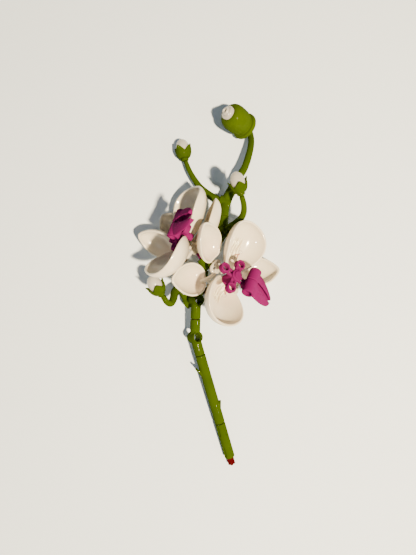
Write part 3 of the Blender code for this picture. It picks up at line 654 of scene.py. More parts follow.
def cross_axle(start, end, edge=0.25):
    """A bar whose section is a cross with four ribs, its long edges rounded."""
    half = AXLE_RIB / 2
    tip = sqrt(AXLE_RADIUS ** 2 - half ** 2)
    outline = []
    for turn in range(4):
        c, s = cos(turn * pi / 2), sin(turn * pi / 2)
        corners = [(tip - edge, -half), (tip, -half + edge), (tip + 0.12, 0.0), (tip, half - edge),
                   (tip - edge, half), (half + 0.15, half), (half, half + 0.15)]
        outline += [(x * c - y * s, x * s + y * c) for x, y in corners]
    length = (Vector(end) - Vector(start)).length
    builder = bmesh.new()
    loops = []
    for height, size in ((0.0, 0.86), (edge * 0.4, 0.95), (edge, 1.0), (length - edge, 1.0),
                         (length - edge * 0.4, 0.95), (length, 0.86)):
        loops.append([builder.verts.new((x * size, y * size, height)) for x, y in outline])
    skin(builder, loops)
    builder.transform(axes(start, Vector(end) - Vector(start)))
    return builder


def stem_scale(top, foot, distance, outward, spread):
    """A small blunt scale that stands off the stem and points up it."""
    along = (Vector(top) - Vector(foot)).normalized()
    out = Vector(outward)
    out = (out - along * out.dot(along)).normalized()
    root = toward(top, foot, distance)
    base = root + out * (STEM_RADIUS - SCALE_SUNK) - along * SCALE_BELOW
    tip = root + out * (STEM_RADIUS + spread) + along * SCALE_ABOVE
    return tube([base.lerp(tip, i / 8) for i in range(9)], lambda t: 2.0 - 0.55 * t, sides=24,
                squash=0.42, flat_way=out)


def build_lower_stem(top, foot):
    """The long straight stem with its two scales, and a peg at each end."""
    stem = rod(top, foot, STEM_RADIUS, edge=0.35, sides=48)
    scales = [stem_scale(top, foot, distance=11.5, outward=(-1.0, 0.1, 0.35), spread=1.9),
              stem_scale(top, foot, distance=36.5, outward=(1.0, 0.2, 0.25), spread=0.9)]
    body = moulded([stem] + scales, [], voxel=0.28, rounds=4)
    peg = BORE_DEPTH - 2 * GAP
    pegs = rod(toward(top, foot, -peg), toward(foot, top, -peg), AXLE_RADIUS)
    piece("lower_stem", [body, pegs], GREEN, sharp=60.0)


def build_base_connector(top):
    """The straight connector at the cut end, with four flutes in each of its ends."""
    placement = axes(CUT_END, top - CUT_END)
    length = CONNECTOR_LENGTH
    body = lathe(rounded(bar_profile(STEM_RADIUS, 0.0, length), 0.5), 48, placement)
    cuts = []
    for start in (-1.0, length - BORE_DEPTH):
        cuts.append(lathe(bar_profile(BORE_RADIUS, start, start + BORE_DEPTH + 1.0), 32, placement))
    for start in (1.5, length - 1.5 - FLUTE_LENGTH):
        for turn in range(4):
            around = pi / 4 + turn * pi / 2
            centre = FLUTE_OUT * Vector((cos(around), sin(around), 0.0))
            groove = rounded(bar_profile(FLUTE_RADIUS, start, start + FLUTE_LENGTH), 0.9)
            cuts.append(lathe(groove, 24, placement @ Matrix.Translation(centre)))
    piece("base_connector", [moulded([body], cuts, voxel=0.24, rounds=4)], GREEN, sharp=60.0)


TOP_STEM_FOOT = Vector((21.0, 66.2, 11.0))
TOP_STEM_ROUTE = [(25.0, 98.1, 5.7), (26.1, 97.6, 4.6), (27.5, 95.6, 4.2), (28.2, 92.0, 5.0),
                  (28.1, 87.0, 7.1), (27.0, 81.4, 8.6), (25.3, 75.3, 9.8), (23.2, 69.9, 10.6),
                  TOP_STEM_FOOT]
LEFT_BUD_ROUTE = [(-14.4, 75.6, 6.2), (-12.1, 69.8, 6.4), (-9.1, 64.4, 6.8), (-5.2, 58.9, 7.6),
                  (-0.9, 54.9, 8.4), (3.2, 52.0, 8.9)]
RIGHT_BUD_ROUTE = [(20.2, 48.2, 30.2), (21.6, 43.6, 27.6), (21.6, 39.2, 25.0), (19.9, 36.0, 21.6),
                   (16.4, 33.0, 20.6)]
LOW_BUD_ROUTE = [(-27.8, -11.6, 21.9), (-27.0, -12.8, 21.6), (-25.3, -15.2, 20.6), (-23.2, -16.1, 18.6),
                 (-21.9, -13.6, 15.4), (-21.3, -9.9, 11.7), (-20.0, -7.7, 8.7)]


def bud_stem(node, route, hub, axis, start_radius, growth):
    """A curved stem that ends on a hub's face, with its peg in the bore."""
    way = Vector(axis).normalized()
    mouth = hub + way * (HUB_LENGTH / 2 + 2 * GAP)
    curve = tube(spline(route + [mouth], 8), lambda t: start_radius + growth * t)
    piece(node, [curve, rod(mouth, mouth - way * PEG_LENGTH, PEG_RADIUS)], GREEN)


def build_stem():
    """All green pieces from the cut end to the bud stems, and the axle in the cut end."""
    lower_end = toward(HUB_1, CUT_END, ARM_LENGTH)
    connector_top = toward(CUT_END, HUB_1, CONNECTOR_LENGTH)
    bend("lower_bend", HUB_1, HUB_AXES["lower_bend"], [(lower_end, True), (arm_end(HUB_1, HUB_2), True)])
    chain = [HUB_1, HUB_2, HUB_3, HUB_4, HUB_5]
    names = ["second_bend", "third_bend", "fourth_bend"]
    for node, below, hub, above in zip(names, chain, chain[1:], chain[2:]):
        bend(node, hub, HUB_AXES[node], [(arm_end(hub, below), True), (arm_end(hub, above), True)])
    bend("upper_bend", HUB_5, HUB_AXES["upper_bend"],
         [(arm_end(HUB_5, HUB_4), True), (toward(HUB_5, TOP_STEM_FOOT, ARM_LENGTH), True)])
    bend("side_bend", SIDE_HUB, SIDE_HUB_AXIS, [(SIDE_ARM_END, False)], SIDE_HUB_LENGTH)
    build_lower_stem(toward(lower_end, CUT_END, GAP), toward(connector_top, HUB_1, GAP))
    build_base_connector(connector_top)
    axle_start = toward(CUT_END, HUB_1, -AXLE_OUT)
    axle_end = toward(CUT_END, HUB_1, BORE_DEPTH - GAP)
    piece("base_axle", [cross_axle(axle_start, axle_end)], RED, sharp=30.0)
    peg_end = toward(HUB_5, TOP_STEM_FOOT, ARM_LENGTH - BORE_DEPTH + GAP)
    piece("top_stem", [tube(spline(TOP_STEM_ROUTE, 8), lambda t: 1.75 + 0.65 * t),
                       rod(TOP_STEM_FOOT, peg_end, PEG_RADIUS)], GREEN)
    bud_stem("left_bud_stem", LEFT_BUD_ROUTE, HUB_5, HUB_AXES["upper_bend"], 1.4, 1.2)
    bud_stem("right_bud_stem", RIGHT_BUD_ROUTE, HUB_4, HUB_AXES["fourth_bend"], 1.6, 0.8)
    piece("low_bud_stem", [tube(spline(LOW_BUD_ROUTE, 8), lambda t: 1.5 + 1.4 * t)], GREEN)


# The buds

def cup_outline(around):
    """The cup's height at an angle: four pointed lobes with notches between them."""
    share = abs(((around / (pi / 2)) + 0.5) % 1.0 - 0.5) * 2.0
    return CUP_NOTCH + (CUP_HEIGHT - CUP_NOTCH) * (1.0 - share ** 1.15)


def cup_radius(height):
    """The cup's inner radius: round up to its waist, and splayed over it."""
    if height < CUP_WAIST:
        share = max(0.0, 1.0 - ((height - CUP_WAIST) / CUP_ROUNDNESS) ** 2)
        return (EGG_RADIUS + CUP_ROOM) * sqrt(share)
    return EGG_RADIUS + CUP_ROOM + CUP_SPLAY * (height - CUP_WAIST) ** 1.4


def cup_corner(around, share, outward):
    """Radius and height on the cup's wall: share runs up the wall, and outward goes through it."""
    height = CUP_FLOOR + (cup_outline(around) - CUP_FLOOR) * share
    extra = CUP_WALL * outward
    # A low keel runs up the outside of each lobe
    keel = 0.18 * outward * share * max(0.0, cos(4 * around)) ** 6
    radius = cup_radius(height) + extra * (1.0 - 0.25 * share) + keel
    return radius, height - extra * (1.0 - share) + CUP_FOOT


def build_cup(node, base, axis, turn):
    """A green cup; base is its foot's centre, and axis points to the egg's tip."""
    sides, rings = 96, 18
    placement = axes(base, axis) @ Matrix.Rotation(turn, 4, "Z")
    builder = bmesh.new()
    # Up the inside, over the rim, and down the outside
    profile = [(ring / rings, 0.0) for ring in range(rings)]
    profile += [(1.0, 0.15), (1.02, 0.5), (1.0, 0.85)]
    profile += [((rings - 1 - ring) / rings, 1.0) for ring in range(rings)]
    skin(builder, [round_loop(builder, sides, cup_corner, share, outward) for share, outward in profile])
    builder.transform(placement)
    foot = rounded([(0.0, 0.0), (2.1, 0.0), (2.5, 0.5), (2.5, 1.5), (2.0, 2.2), (1.8, 2.8), (0.0, 2.9)],
                   0.25)
    collar = rounded([(2.2, 1.9), (3.3, 2.1), (3.5, 2.7), (2.6, 3.0)], 0.2)
    piece(node, [builder, lathe(foot, 48, placement), lathe(collar, 48, placement)], GREEN, sharp=50.0)


def egg_corner(around, polar):
    """Radius and height on the egg, whose four faint seams run from end to end."""
    seam = 0.06 * exp(-((sin(2 * around) / 0.12) ** 2)) * sin(polar)
    radius = EGG_RADIUS * sin(polar) * (1.0 + 0.06 * cos(polar)) - seam
    return radius, EGG_LIFT - EGG_HALF_LENGTH * cos(polar)


def build_egg(node, base, axis):
    """The white bud in a cup."""
    rings, sides = 40, 72
    builder = bmesh.new()
    loops = [[builder.verts.new((0.0, 0.0, EGG_LIFT - EGG_HALF_LENGTH))]]
    loops += [round_loop(builder, sides, egg_corner, pi * ring / rings) for ring in range(1, rings)]
    loops.append([builder.verts.new((0.0, 0.0, EGG_LIFT + EGG_HALF_LENGTH))])
    skin(builder, loops)
    builder.transform(axes(base, axis))
    piece(node, [builder], WHITE)


# Each small bud: its cup's foot, the way it points, and its turn
BUDS = {
    "left_bud": ((-14.9, 76.1, 6.2), (-0.18, 0.98, 0.02), radians(60.0)),
    "right_bud": ((19.9, 49.0, 30.6), (-0.30, 0.85, 0.43), radians(10.0)),
    "low_bud": ((-28.3, -10.9, 22.1), (-0.45, 0.78, 0.42), radians(20.0)),
}
TOP_BUD_BACK = (24.6, 98.2, 6.1)
TOP_BUD_AXIS = (-0.65, 0.22, 0.72)


def tip_corner(around, point, share):
    """Radius and height on the rolled tip: two layers wind inwards, each with a thick lip and a groove."""
    phase = (around / pi + TIP_WIND * share) % 1.0
    lip = 0.75 * phase ** 2.5 - 0.8 * exp(-((1.0 - phase) / 0.10) ** 2)
    lip *= sin(pi * min(1.0, share * 1.15)) ** 0.7
    return point.x * (1.0 + 0.07 * lip), point.z + TIP_RELIEF * lip


def build_top_bud():
    """The big bud: a flange, a domed barrel on it, and a rolled white tip."""
    placement = axes(TOP_BUD_BACK, TOP_BUD_AXIS)
    flange = [(0.0, 0.0), (8.1, 0.0), (8.6, 0.5), (8.6, 2.3), (8.2, 2.7)]
    groove = [(7.1, 2.9), (6.9, 3.3), (6.9, 4.7)]
    side = [(7.9, 5.1), (8.15, 6.5), (8.3, 9.5), (8.3, 12.5)]
    shoulder = [(8.2, 13.6), (7.9, 15.0), (7.5, 16.0), (7.0, 16.8), (6.4, 17.5), (5.6, 18.0), (4.75, 18.25)]
    mouth = [(4.5, 18.1), (4.45, 16.8), (0.0, 16.8)]
    barrel = rounded(flange + groove + side + shoulder + mouth, 0.35, 3)
    piece("top_bud", [lathe(barrel, 96, placement)], LIGHT_GREEN)

    # The tip's outline from the barrel's mouth up over its shoulder and the rolled tube to the hole
    outline = spline([(4.15, 0.0, 17.0), (4.3, 0.0, 18.2), (4.05, 0.0, 19.5), (3.3, 0.0, 20.3),
                      (2.5, 0.0, 20.6), (2.15, 0.0, 21.3), (1.75, 0.0, 21.75), (1.25, 0.0, 21.6),
                      (0.95, 0.0, 20.9), (0.85, 0.0, 19.6)], 6)
    sides, rings = 120, len(outline) - 1
    builder = bmesh.new()
    loops = [round_loop(builder, sides, tip_corner, point, ring / rings)
             for ring, point in enumerate(outline)]
    loops.append([builder.verts.new((0.0, 0.0, 19.5))])
    skin(builder, loops)
    builder.transform(placement)
    piece("top_bud_tip", [builder], WHITE, sharp=60.0)


# The petals

def rim_point(shape, around):
    """The rim of a petal in its own plane: +Y is the tip, and around is 0 there."""
    half_width, half_length = shape["width"] / 2, shape["length"] / 2
    from_tip = min(around, 2 * pi - around)
    x = half_width * sin(around) * (1.0 + shape["taper"] * cos(around))
    y = half_length * cos(around) + shape["point"] * exp(-(from_tip / 0.45) ** 2)
    y = max(y, shape["base_cut"] - half_length)
    rise = shape["saddle"] * ((x / half_width) ** 2 - (y / half_length) ** 2)
    return x, y, rise


def bowl_face(depth, beyond, inner):
    """One face of a bowl from the middle to the rim: (share, beyond, height, inner) of each ring."""
    rings = 26
    steepest = acos((RIM_DROP / depth) ** (1 / BOWL_FULLNESS))
    face = []
    for ring in range(1, rings + 1):
        angle = steepest * ring / rings
        face.append((sin(angle) ** BOWL_SPREAD, beyond, -depth * cos(angle) ** BOWL_FULLNESS, inner))
    return face


def bowl_profile(depth):
    """A bowl's rings: up its inner face, over the rim's round edge, and back down its outer face."""
    inward = -0.75 * WALL
    rim = []
    for step in range(1, RIM_STEPS):
        angle = pi * step / RIM_STEPS
        beyond = inward + WALL * (1 - cos(angle)) / 2
        rim.append((1.0, beyond, -RIM_DROP * (1 - sin(angle)), 1.0 if step < RIM_STEPS // 2 else 0.0))
    outside = bowl_face(depth + WALL, 0.25 * WALL, 0.0)
    return bowl_face(depth, inward, 1.0) + rim + outside[::-1]


def build_bowl(node, shape):
    """A petal's bowl in its own axes, with the places that its material needs."""
    sides = 112
    half_width = shape["width"] / 2
    rim = [rim_point(shape, 2 * pi * i / sides) for i in range(sides)]
    foot = shape["base_cut"] - shape["length"] / 2
    # The crest stands on one side, and upper petals mirror lower ones
    hand = -1.0 if "upper" in node else 1.0
    crest_across, crest_along = CRESTS.get(node, PLAIN_CREST)
    builder = bmesh.new()
    place_layer = builder.verts.layers.float_vector.new("petal_place")
    crest_layer = builder.verts.layers.float_vector.new("crest_place")

    def corner(x, y, z, inner):
        vertex = builder.verts.new((x, y, z))
        across, along = x * hand, y - foot
        vertex[place_layer] = (across, along, inner)
        vertex[crest_layer] = (across - crest_across, along - crest_along, 0.0)
        return vertex

    loops = []
    for share, beyond, height, inner in bowl_profile(shape["depth"]):
        grown = share * (1.0 + beyond / half_width)
        loops.append([corner(x * grown, y * grown, rise * share * share + height, inner)
                      for x, y, rise in rim])
    floor_top = corner(0.0, 0.0, -shape["depth"], 1.0)
    floor_under = corner(0.0, 0.0, -shape["depth"] - WALL, 0.0)
    skin(builder, [[floor_top]] + loops + [[floor_under]])
    return builder


def build_petal(node, shape, centre, tip, opening, route, extra=()):
    """A bowl with its tip along tip and its hollow toward opening, on a stalk along route."""
    z = Vector(opening).normalized()
    y = (Vector(tip) - z * z.dot(Vector(tip))).normalized()
    turn = Matrix((y.cross(z), y, z)).transposed().to_4x4()
    bowl = build_bowl(node, shape)
    bowl.transform(Matrix.Translation(centre) @ turn)
    heel = shape["base_cut"] - shape["length"] / 2 - WALL * 0.6
    inside = Vector(centre) + y * (heel + STALK_SINK) - z * (shape["depth"] * 0.4 + STALK_SINK)
    # A route of one point gets a second one, so that the curve has a way to start in
    points = [inside, inside.lerp(Vector(route[0]), 0.5)] if len(route) == 1 else [inside]
    stalk = tube(spline(points + route, 8), lambda t: STALK_RADIUS)
    piece(node, [bowl, stalk] + list(extra), CREAM if shape is PETAL else SEPAL_CREAM, sharp=50.0)


class Flower:
    """Where one open flower sits: its disc's centre, the way it faces, and the way its lip hangs."""

    def __init__(self, name, centre, facing, lip, barrel, lip_turn, leans):
        self.name = name
        self.centre = Vector(centre)
        self.facing = Vector(facing).normalized()
        lip = Vector(lip)
        self.lip = (lip - self.facing * lip.dot(self.facing)).normalized()
        self.side = self.facing.cross(self.lip)
        self.barrel = barrel
        self.lip_turn = radians(lip_turn)
        self.leans = dict(zip(("left", "right"), leans))

    def placement(self):
        turn = Matrix((self.lip, self.side, self.facing)).transposed().to_4x4()
        return Matrix.Translation(self.centre) @ turn

    def at(self, out, across, forward):
        return self.centre + self.lip * out + self.side * across + self.facing * forward


RIGHT = Flower("right", (17.7, 1.5, 36.5), (0.568, 0.269, 0.777), (0.74, -0.57, -0.34), 12.0, 0.0,
               (-10.0, -10.0))
LEFT = Flower("left", (-19.2, 26.9, 34.0), (-0.83, 0.41, 0.37), (0.48, 0.25, 0.84), 4.2, -9.0,
              (9.0, 3.0))
RIGHT_TAIL = Vector((3.2, -5.1, 9.0))
LEFT_TAIL = Vector((-8.3, 18.2, 17.2))

# Each petal: its node, shape, centre, the ways its tip and its hollow point, and its stalk's points
PETALS = [
    ("right_upper_petal", PETAL, (22.0, 17.5, 26.6), (0.36, 0.93, 0.11), (0.59, -0.31, 0.75),
     [(13.8, 2.3, 22.3)]),
    ("right_lower_petal", PETAL, (10.9, -12.4, 31.0), (-0.28, -0.58, 0.76), (0.77, 0.34, 0.54),
     [(13.0, -4.0, 16.0), (12.0, -4.0, 16.0)]),
    ("right_upper_sepal", SEPAL, (1.9, 19.8, 34.0), (-0.22, 0.75, 0.63), (0.80, -0.24, 0.56),
     [(3.0, 10.0, 24.0), (8.0, 4.0, 25.0), (9.0, 3.0, 26.0)]),
    ("right_left_sepal", SEPAL, (-9.5, -1.1, 30.0), (-0.73, -0.02, 0.68), (0.68, 0.06, 0.73),
     [(-1.0, -1.0, 19.0), (3.0, -5.0, 15.0)]),
    ("right_right_sepal", SEPAL, (31.9, 4.0, 12.6), (0.99, 0.12, -0.11), (0.05, 0.43, 0.90),
     [(19.0, 2.0, 12.0), (14.2, 0.8, 16.8)]),
    ("left_upper_petal", PETAL, (-13.1, 40.7, 22.8), (0.24, 0.97, 0.06), (-0.86, 0.18, 0.48),
     [(-14.0, 24.0, 20.0)]),
    ("left_lower_petal", PETAL, (-23.3, 13.8, 36.5), (-0.30, -0.49, 0.82), (-0.64, 0.74, 0.21),
     [(-16.0, 20.0, 22.0)]),
    ("left_left_sepal", SEPAL, (-31.5, 20.7, 16.4), (-0.92, 0.38, -0.10), (-0.33, -0.60, 0.73),
     [(-19.0, 17.0, 16.0), (-15.0, 19.0, 19.0)]),
    ("left_back_sepal", SEPAL, (-20.7, 30.6, 8.2), (-0.68, 0.72, -0.12), (-0.18, -0.01, 0.98),
     [(-11.0, 21.0, 8.0), (-12.0, 22.0, 15.0), (-12.0, 22.0, 17.0)]),
    ("left_right_sepal", SEPAL, (-0.4, 35.3, 22.0), (0.29, 0.95, 0.13), (-0.95, 0.27, 0.18),
     [(-2.2, 21.9, 20.1), (-9.0, 21.0, 22.0)]),
]
# Where the ring of a petal's crest stands: across, and along from the foot
CRESTS = {"right_upper_petal": (-5.4, 11.9), "right_lower_petal": (-3.4, 4.8)}
PLAIN_CREST = (-4.4, 9.0)
# The mounts' necks, and their bars as two end points and a radius
RIGHT_NECK = [(10.0, -2.0, 25.0), (13.0, 0.0, 22.0), (13.0, 0.0, 19.0), (12.0, 0.0, 18.0),
              (6.0, -4.0, 13.0)]
LEFT_NECK = [(-14.6, 24.5, 31.6), (-15.0, 24.1, 29.0), (-15.0, 24.0, 25.0), (-12.0, 20.0, 20.0)]
RIGHT_BARS = [((12.5, -1.5, 19.5), (17.2, -5.0, 20.5), 1.6), ((17.6, -4.0, 21.5), (17.0, -9.4, 18.5), 1.9)]
LEFT_BARS = [((-7.6, 19.6, 17.8), (-14.9, 9.9, 18.6), 1.25), ((-12.5, 17.2, 23.4), (-6.4, 22.0, 20.5), 1.1),
             ((-10.0, 21.5, 20.0), (-3.7, 29.5, 19.5), 1.1)]
# The flattened arm in front of the right flower's left sepal
SEPAL_ARM_RADIUS = 1.25
SEPAL_ARM_FLAT = (0.3, 0.2, 0.9)
SEPAL_ARM_ROUTE = [(-4.4, -2.5, 22.6), (-2.6, -1.9, 23.2), (-0.2, -0.9, 23.8), (2.8, 1.2, 25.4),
                   (4.6, 3.2, 26.6)]
HANDLE_ROUTE = [(5.3, 9.0, 29.2), (3.9, 8.4, 29.0), (2.2, 6.2, 28.2), (2.5, 3.8, 27.2), (4.3, 3.5, 27.0)]
HANDLE_RINGS = ((5.7, 8.9, 29.4), (4.8, 3.8, 27.0))
HANDLE_RING_AXIS = (0.55, 0.26, 0.78)


# The lips and their mounts

def build_hub(flower):
    """The magenta disc and barrel with four ring holders on paired struts."""
    placement = flower.placement()
    disc = [(0.0, 0.1), (DISC_FACE_RADIUS, 0.1), (DISC_FACE_RADIUS, -DISC_STEP),
            (DISC_RADIUS, -DISC_STEP - 0.1), (DISC_RADIUS, -flower.barrel), (0.0, -flower.barrel)]
    solids, cuts = [lathe(rounded(disc, 0.12, 3), 48, placement)], []
    low, high = RING_TOP - RING_HEIGHT, RING_TOP
    for turn in range(4):
        around = turn * pi / 2
        out = Matrix.Translation((RING_REACH * cos(around), RING_REACH * sin(around), 0.0))
        ring = rounded(bar_profile(RING_RADIUS, low, high), 0.45, 5)
        solids.append(lathe(ring, 40, placement @ out))
        cuts.append(lathe(bar_profile(RING_BORE, low - 1, high + 1), 32, placement @ out))
        for offset in (-STRUT_ASIDE, STRUT_ASIDE):
            solids.append(block((STRUT_LENGTH, STRUT, STRUT), (STRUT_MIDDLE, offset, STRUT_LEVEL),
                                placement, around))
    if flower is LEFT:
        # The rear of this barrel stands a little aside of the lower petal's rim
        solids.append(rod(flower.at(0.3, 1.4, -2.5), flower.at(0.3, 1.4, -11.0), REAR_BARREL_RADIUS,
                          edge=0.3, sides=44))
    piece(flower.name + "_hub", [moulded(solids, cuts, voxel=0.19, rounds=3)], MAGENTA, sharp=60.0)


def lip_placement(flower, lean):
    """The lip's own frame: X along a claw's reach, Y along the claws' shared axis, Z to the front."""
    height = RING_TOP + CLAW_BARREL_RADIUS + GAP
    return (flower.placement() @ Matrix.Translation((RING_REACH, 0.0, height))
            @ Matrix.Rotation(flower.lip_turn, 4, "Z") @ Matrix.Rotation(-radians(lean), 4, "Y"))


def lip_point(flower, across):
    """A point on the claws' shared axis."""
    return lip_placement(flower, 0.0) @ Vector((0.0, across, 0.0))


def build_lip_pin(flower):
    """The T-shaped pin that carries both claws and plugs into one ring holder."""
    half = CLAW_BARREL_LENGTH - LIP_PIN_SHORT
    bar = rod(lip_point(flower, -half), lip_point(flower, half), LIP_PIN_RADIUS, edge=0.3)
    foot = flower.at(RING_REACH, 0.0, RING_TOP - RING_HEIGHT + 0.4)
    neck = rod(foot, lip_point(flower, 0.0), LIP_NECK_RADIUS, edge=0.2)
    piece(flower.name + "_lip_pin", [bar, neck], MAGENTA)


def claw_top(share):
    """Height of a blade's front face over its barrel's axis, along its inner edge."""
    return CLAW_TOP - CLAW_FALL * share - CLAW_CURVE * share * share


def claw_section(share):
    """A blade's outline across its reach, with the pocket in its inner wall."""
    outer = CLAW_TIP + (CLAW_WIDTH - CLAW_TIP) * (1.0 - share ** 2.2) ** 0.75
    inner = CLAW_ASIDE + CLAW_PARTING * sin(pi * share) ** 0.7
    width = outer - inner
    top = claw_top(share)
    wall = CLAW_WALL - CLAW_WALL_LOSS * share * share
    # The pocket fades out near the tip
    pocket = 0.05 + min(CLAW_POCKET, 0.42 * width) * min(1.0, 4.0 * (1.0 - share))
    steps = 7
    front = []
    for k in range(steps + 1):
        t = k / steps
        front.append((inner + width * t, top + 0.2 * sin(pi * t) - (0.2 * width + 0.5) * t ** 2.2))
    edge = front[-1][1]
    return front + [(outer - 0.05 * width, edge - 0.7), (inner + 0.55 * width, top - 0.85 * wall),
                    (inner, top - wall), (inner, top - wall + 0.6), (inner + pocket, top - wall + 0.9),
                    (inner + pocket, top - 0.9), (inner, top - 0.6)]


def build_claw(flower, hand):
    """One claw: a bored barrel and a blade with a pocketed inner wall and a curved outer edge."""
    placement = lip_placement(flower, flower.leans[hand])
    side = 1.0 if hand == "left" else -1.0
    stations = 28
    builder = bmesh.new()
    loops = []
    for i in range(stations + 1):
        share = i / stations
        reach = CLAW_START + (CLAW_REACH - CLAW_START) * share
        loops.append([builder.verts.new((reach, side * across, up)) for across, up in claw_section(share)])
    skin(builder, loops)
    builder.transform(placement)
    along = placement @ Matrix.Rotation(-pi / 2 * side, 4, "X")
    barrel = rounded(bar_profile(CLAW_BARREL_RADIUS, 0.2, CLAW_BARREL_LENGTH), 0.3)
    bore_radius = LIP_PIN_RADIUS + 0.25
    bore = bar_profile(bore_radius, -1.0, CLAW_BARREL_LENGTH + 1)
    mouth = bar_profile(bore_radius + 0.55, CLAW_BARREL_LENGTH - LIP_PIN_SHORT, CLAW_BARREL_LENGTH + 1)
    room_for_neck = block((4.4, 3.8, 4.6), (0.0, 0.0, -2.3), placement)
    cuts = [lathe(bore, 32, along), lathe(mouth, 32, along), room_for_neck]
    claw = moulded([builder, lathe(barrel, 44, along)], cuts, voxel=0.19, rounds=4)
    pips = []
    for reach, across in PIPS:
        share = (reach - 1.0) / (CLAW_REACH - 1.0)
        t = (across - 0.5) / (CLAW_WIDTH - 0.5)
        lift = claw_top(share) + 0.2 * sin(pi * t) - (0.2 * CLAW_WIDTH + 0.4) * t ** 2.2
        pip = [(0.0, -0.4), (0.34, -0.3), (0.30, 0.12), (0.16, 0.26), (0.0, 0.30)]
        pips.append(lathe(pip, 16, placement @ Matrix.Translation((reach, side * across, lift))))
    piece(flower.name + "_lip_" + hand, [claw] + pips, MAGENTA, sharp=60.0)


def build_mount(flower, collar_length, neck, neck_radius, tail, tail_axis, bars):
    """The cream collar behind a hub, its neck and bars, and the cross tube for the stem's pin."""
    start = -flower.barrel - GAP
    collar = rounded(bar_profile(MOUNT_RADIUS, start, start - collar_length), 0.2)
    half = tail_axis.normalized() * TAIL_LENGTH / 2
    inside = flower.at(0.0, 0.0, start - collar_length / 2)
    solids = [lathe(collar, 32, flower.placement()),
              centred_rod(tail, half, TAIL_RADIUS, edge=0.25, sides=36),
              tube([inside] + neck + [tail], lambda t: neck_radius, sides=24)]
    solids += [rod(first, last, radius, edge=0.3, sides=28) for first, last, radius in bars]
    cuts = [centred_rod(tail, half * 1.4, TAIL_BORE, edge=TINY, sides=32)]
    piece(flower.name + "_mount", [moulded(solids, cuts, voxel=0.24, rounds=8)], IVORY, sharp=60.0)


def build_pin(node, hub, hub_length, tail, look):
    """A round pin with a thick end in a hub's bore and a thin end in a mount's cross tube."""
    reach = tail - hub
    inner = hub_length / 2
    thick = BORE_RADIUS - 0.2
    far = reach.length + TAIL_LENGTH / 2 - 0.4
    profile = [(0.0, 0.5 - inner), (thick, 0.5 - inner), (thick, inner), (PIN_RADIUS, inner + 0.2),
               (PIN_RADIUS, far), (0.0, far)]
    piece(node, [lathe(rounded(profile, 0.2), 40, axes(hub, reach))], look)


def build_handle():
    """The small curved bar with a ring at each end, between the two sepals and the right hub."""
    solids = [tube(spline(HANDLE_ROUTE, 8), lambda t: HANDLE_RADIUS, sides=24)]
    for centre in HANDLE_RINGS:
        half = Vector(HANDLE_RING_AXIS) * 1.2
        solids.append(centred_rod(centre, half, HANDLE_RING_RADIUS, edge=0.3, sides=36))
    piece("right_handle", [moulded(solids, [], voxel=0.2, rounds=6)], IVORY, sharp=60.0)


# The whole spray

build_stem()
for bud, (base, axis, turn) in BUDS.items():
    build_cup(bud + "_cup", base, axis, turn)
    build_egg(bud + "_egg", base, axis)
build_top_bud()
for flower in (RIGHT, LEFT):
    build_hub(flower)
    build_lip_pin(flower)
    build_claw(flower, "left")
    build_claw(flower, "right")
build_mount(RIGHT, 1.5, RIGHT_NECK, 1.6, RIGHT_TAIL, RIGHT_TAIL - SIDE_HUB, RIGHT_BARS)
build_mount(LEFT, 0.6, LEFT_NECK, 1.2, LEFT_TAIL, LEFT_TAIL - HUB_3, LEFT_BARS)
build_pin("side_pin", SIDE_HUB, SIDE_HUB_LENGTH, RIGHT_TAIL, BROWN)
build_pin("left_pin", HUB_3, HUB_LENGTH, LEFT_TAIL, MAGENTA)
build_handle()
arm = tube(spline(SEPAL_ARM_ROUTE, 8), lambda t: SEPAL_ARM_RADIUS, sides=24, squash=0.6,
           flat_way=SEPAL_ARM_FLAT)
for petal in PETALS:
    build_petal(*petal, [arm] if petal[0] == "right_left_sepal" else [])
for number in range(1, 5):
    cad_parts["joint_axle_%d" % number].data.materials[0] = BROWN


# The floor, the light and the camera

FLOOR_HALF = 1.5
FLOOR_TONE = rgb(0.76, 0.85, 0.95)
FLOOR_LIGHTER = rgb(0.79, 0.88, 0.98)
LIGHT_TARGET = (0.0, 0.02, 0.02)
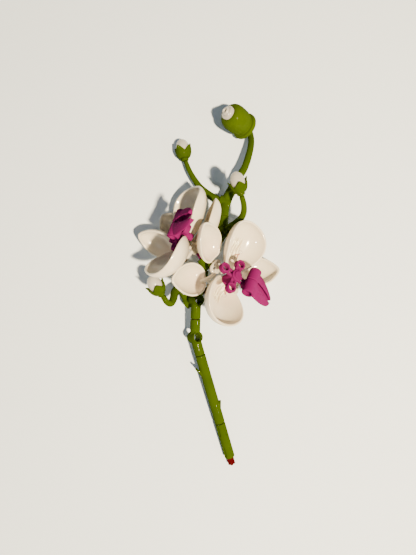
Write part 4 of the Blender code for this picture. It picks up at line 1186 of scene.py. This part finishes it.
# A warm key fitted to the shadows inside the petals, and two small lamps for bright spots:
# each lamp's name, place, size, power and colour
LIGHTS = [
    ("key", (0.288, -0.223, 0.84), 0.05, 34.0, (1.0, 0.81, 0.53)),
    ("spark_right", (0.62, -0.28, 0.55), 0.02, 0.9, (1.0, 0.95, 0.86)),
    ("spark_left", (-0.30, -0.17, 0.74), 0.02, 0.5, (0.95, 0.97, 1.0)),
]
WORLD_COLOUR = rgb(0.86, 0.93, 1.0)
WORLD_STRENGTH = 0.17


def build_floor():
    """A plain pale floor with a faintly cloudy tone."""
    builder = bmesh.new()
    bmesh.ops.create_grid(builder, x_segments=1, y_segments=1, size=FLOOR_HALF)
    mesh = bpy.data.meshes.new("floor")
    builder.to_mesh(mesh)
    builder.free()
    made = Nodes("pale matt floor")
    place = made.add("ShaderNodeTexCoord").outputs["Object"]
    cloud = made.noise(place, scale=9.0, detail=3.0)
    made.surface("Base Color", made.mix(cloud, FLOOR_TONE, FLOOR_LIGHTER))
    grain = made.spread(made.noise(place, scale=300.0), low=0.3, high=0.7, to_low=0.75, to_high=0.9)
    made.surface("Roughness", grain)
    mesh.materials.append(made.material)
    floor = linked("floor", mesh)


def area_light(name, place, size, power, colour):
    """A round lamp that faces the spray."""
    light = bpy.data.lights.new(name, "AREA")
    light.shape = "DISK"
    light.size = size
    light.energy = power
    light.color = colour
    item = linked(name, light)
    item.location = place
    item.rotation_mode = "QUATERNION"
    item.rotation_quaternion = (Vector(place) - Vector(LIGHT_TARGET)).to_track_quat("Z", "Y")


def build_light():
    """The lamps and a weak cool surround."""
    for lamp in LIGHTS:
        area_light(*lamp)
    world = bpy.data.worlds.new("studio")
    world.use_nodes = True
    background = world.node_tree.nodes["Background"]
    background.inputs["Color"].default_value = WORLD_COLOUR
    background.inputs["Strength"].default_value = WORLD_STRENGTH
    bpy.context.scene.world = world


def build_camera():
    """A camera that looks straight down."""
    data = bpy.data.cameras.new("camera")
    data.sensor_width = SENSOR
    data.lens = LENS
    data.clip_start = 0.01
    data.clip_end = 10.0
    camera = linked("camera", data)
    camera.location = frame_point((0.0, 0.0, CAMERA_HEIGHT))
    bpy.context.scene.camera = camera


build_floor()
build_light()
build_camera()
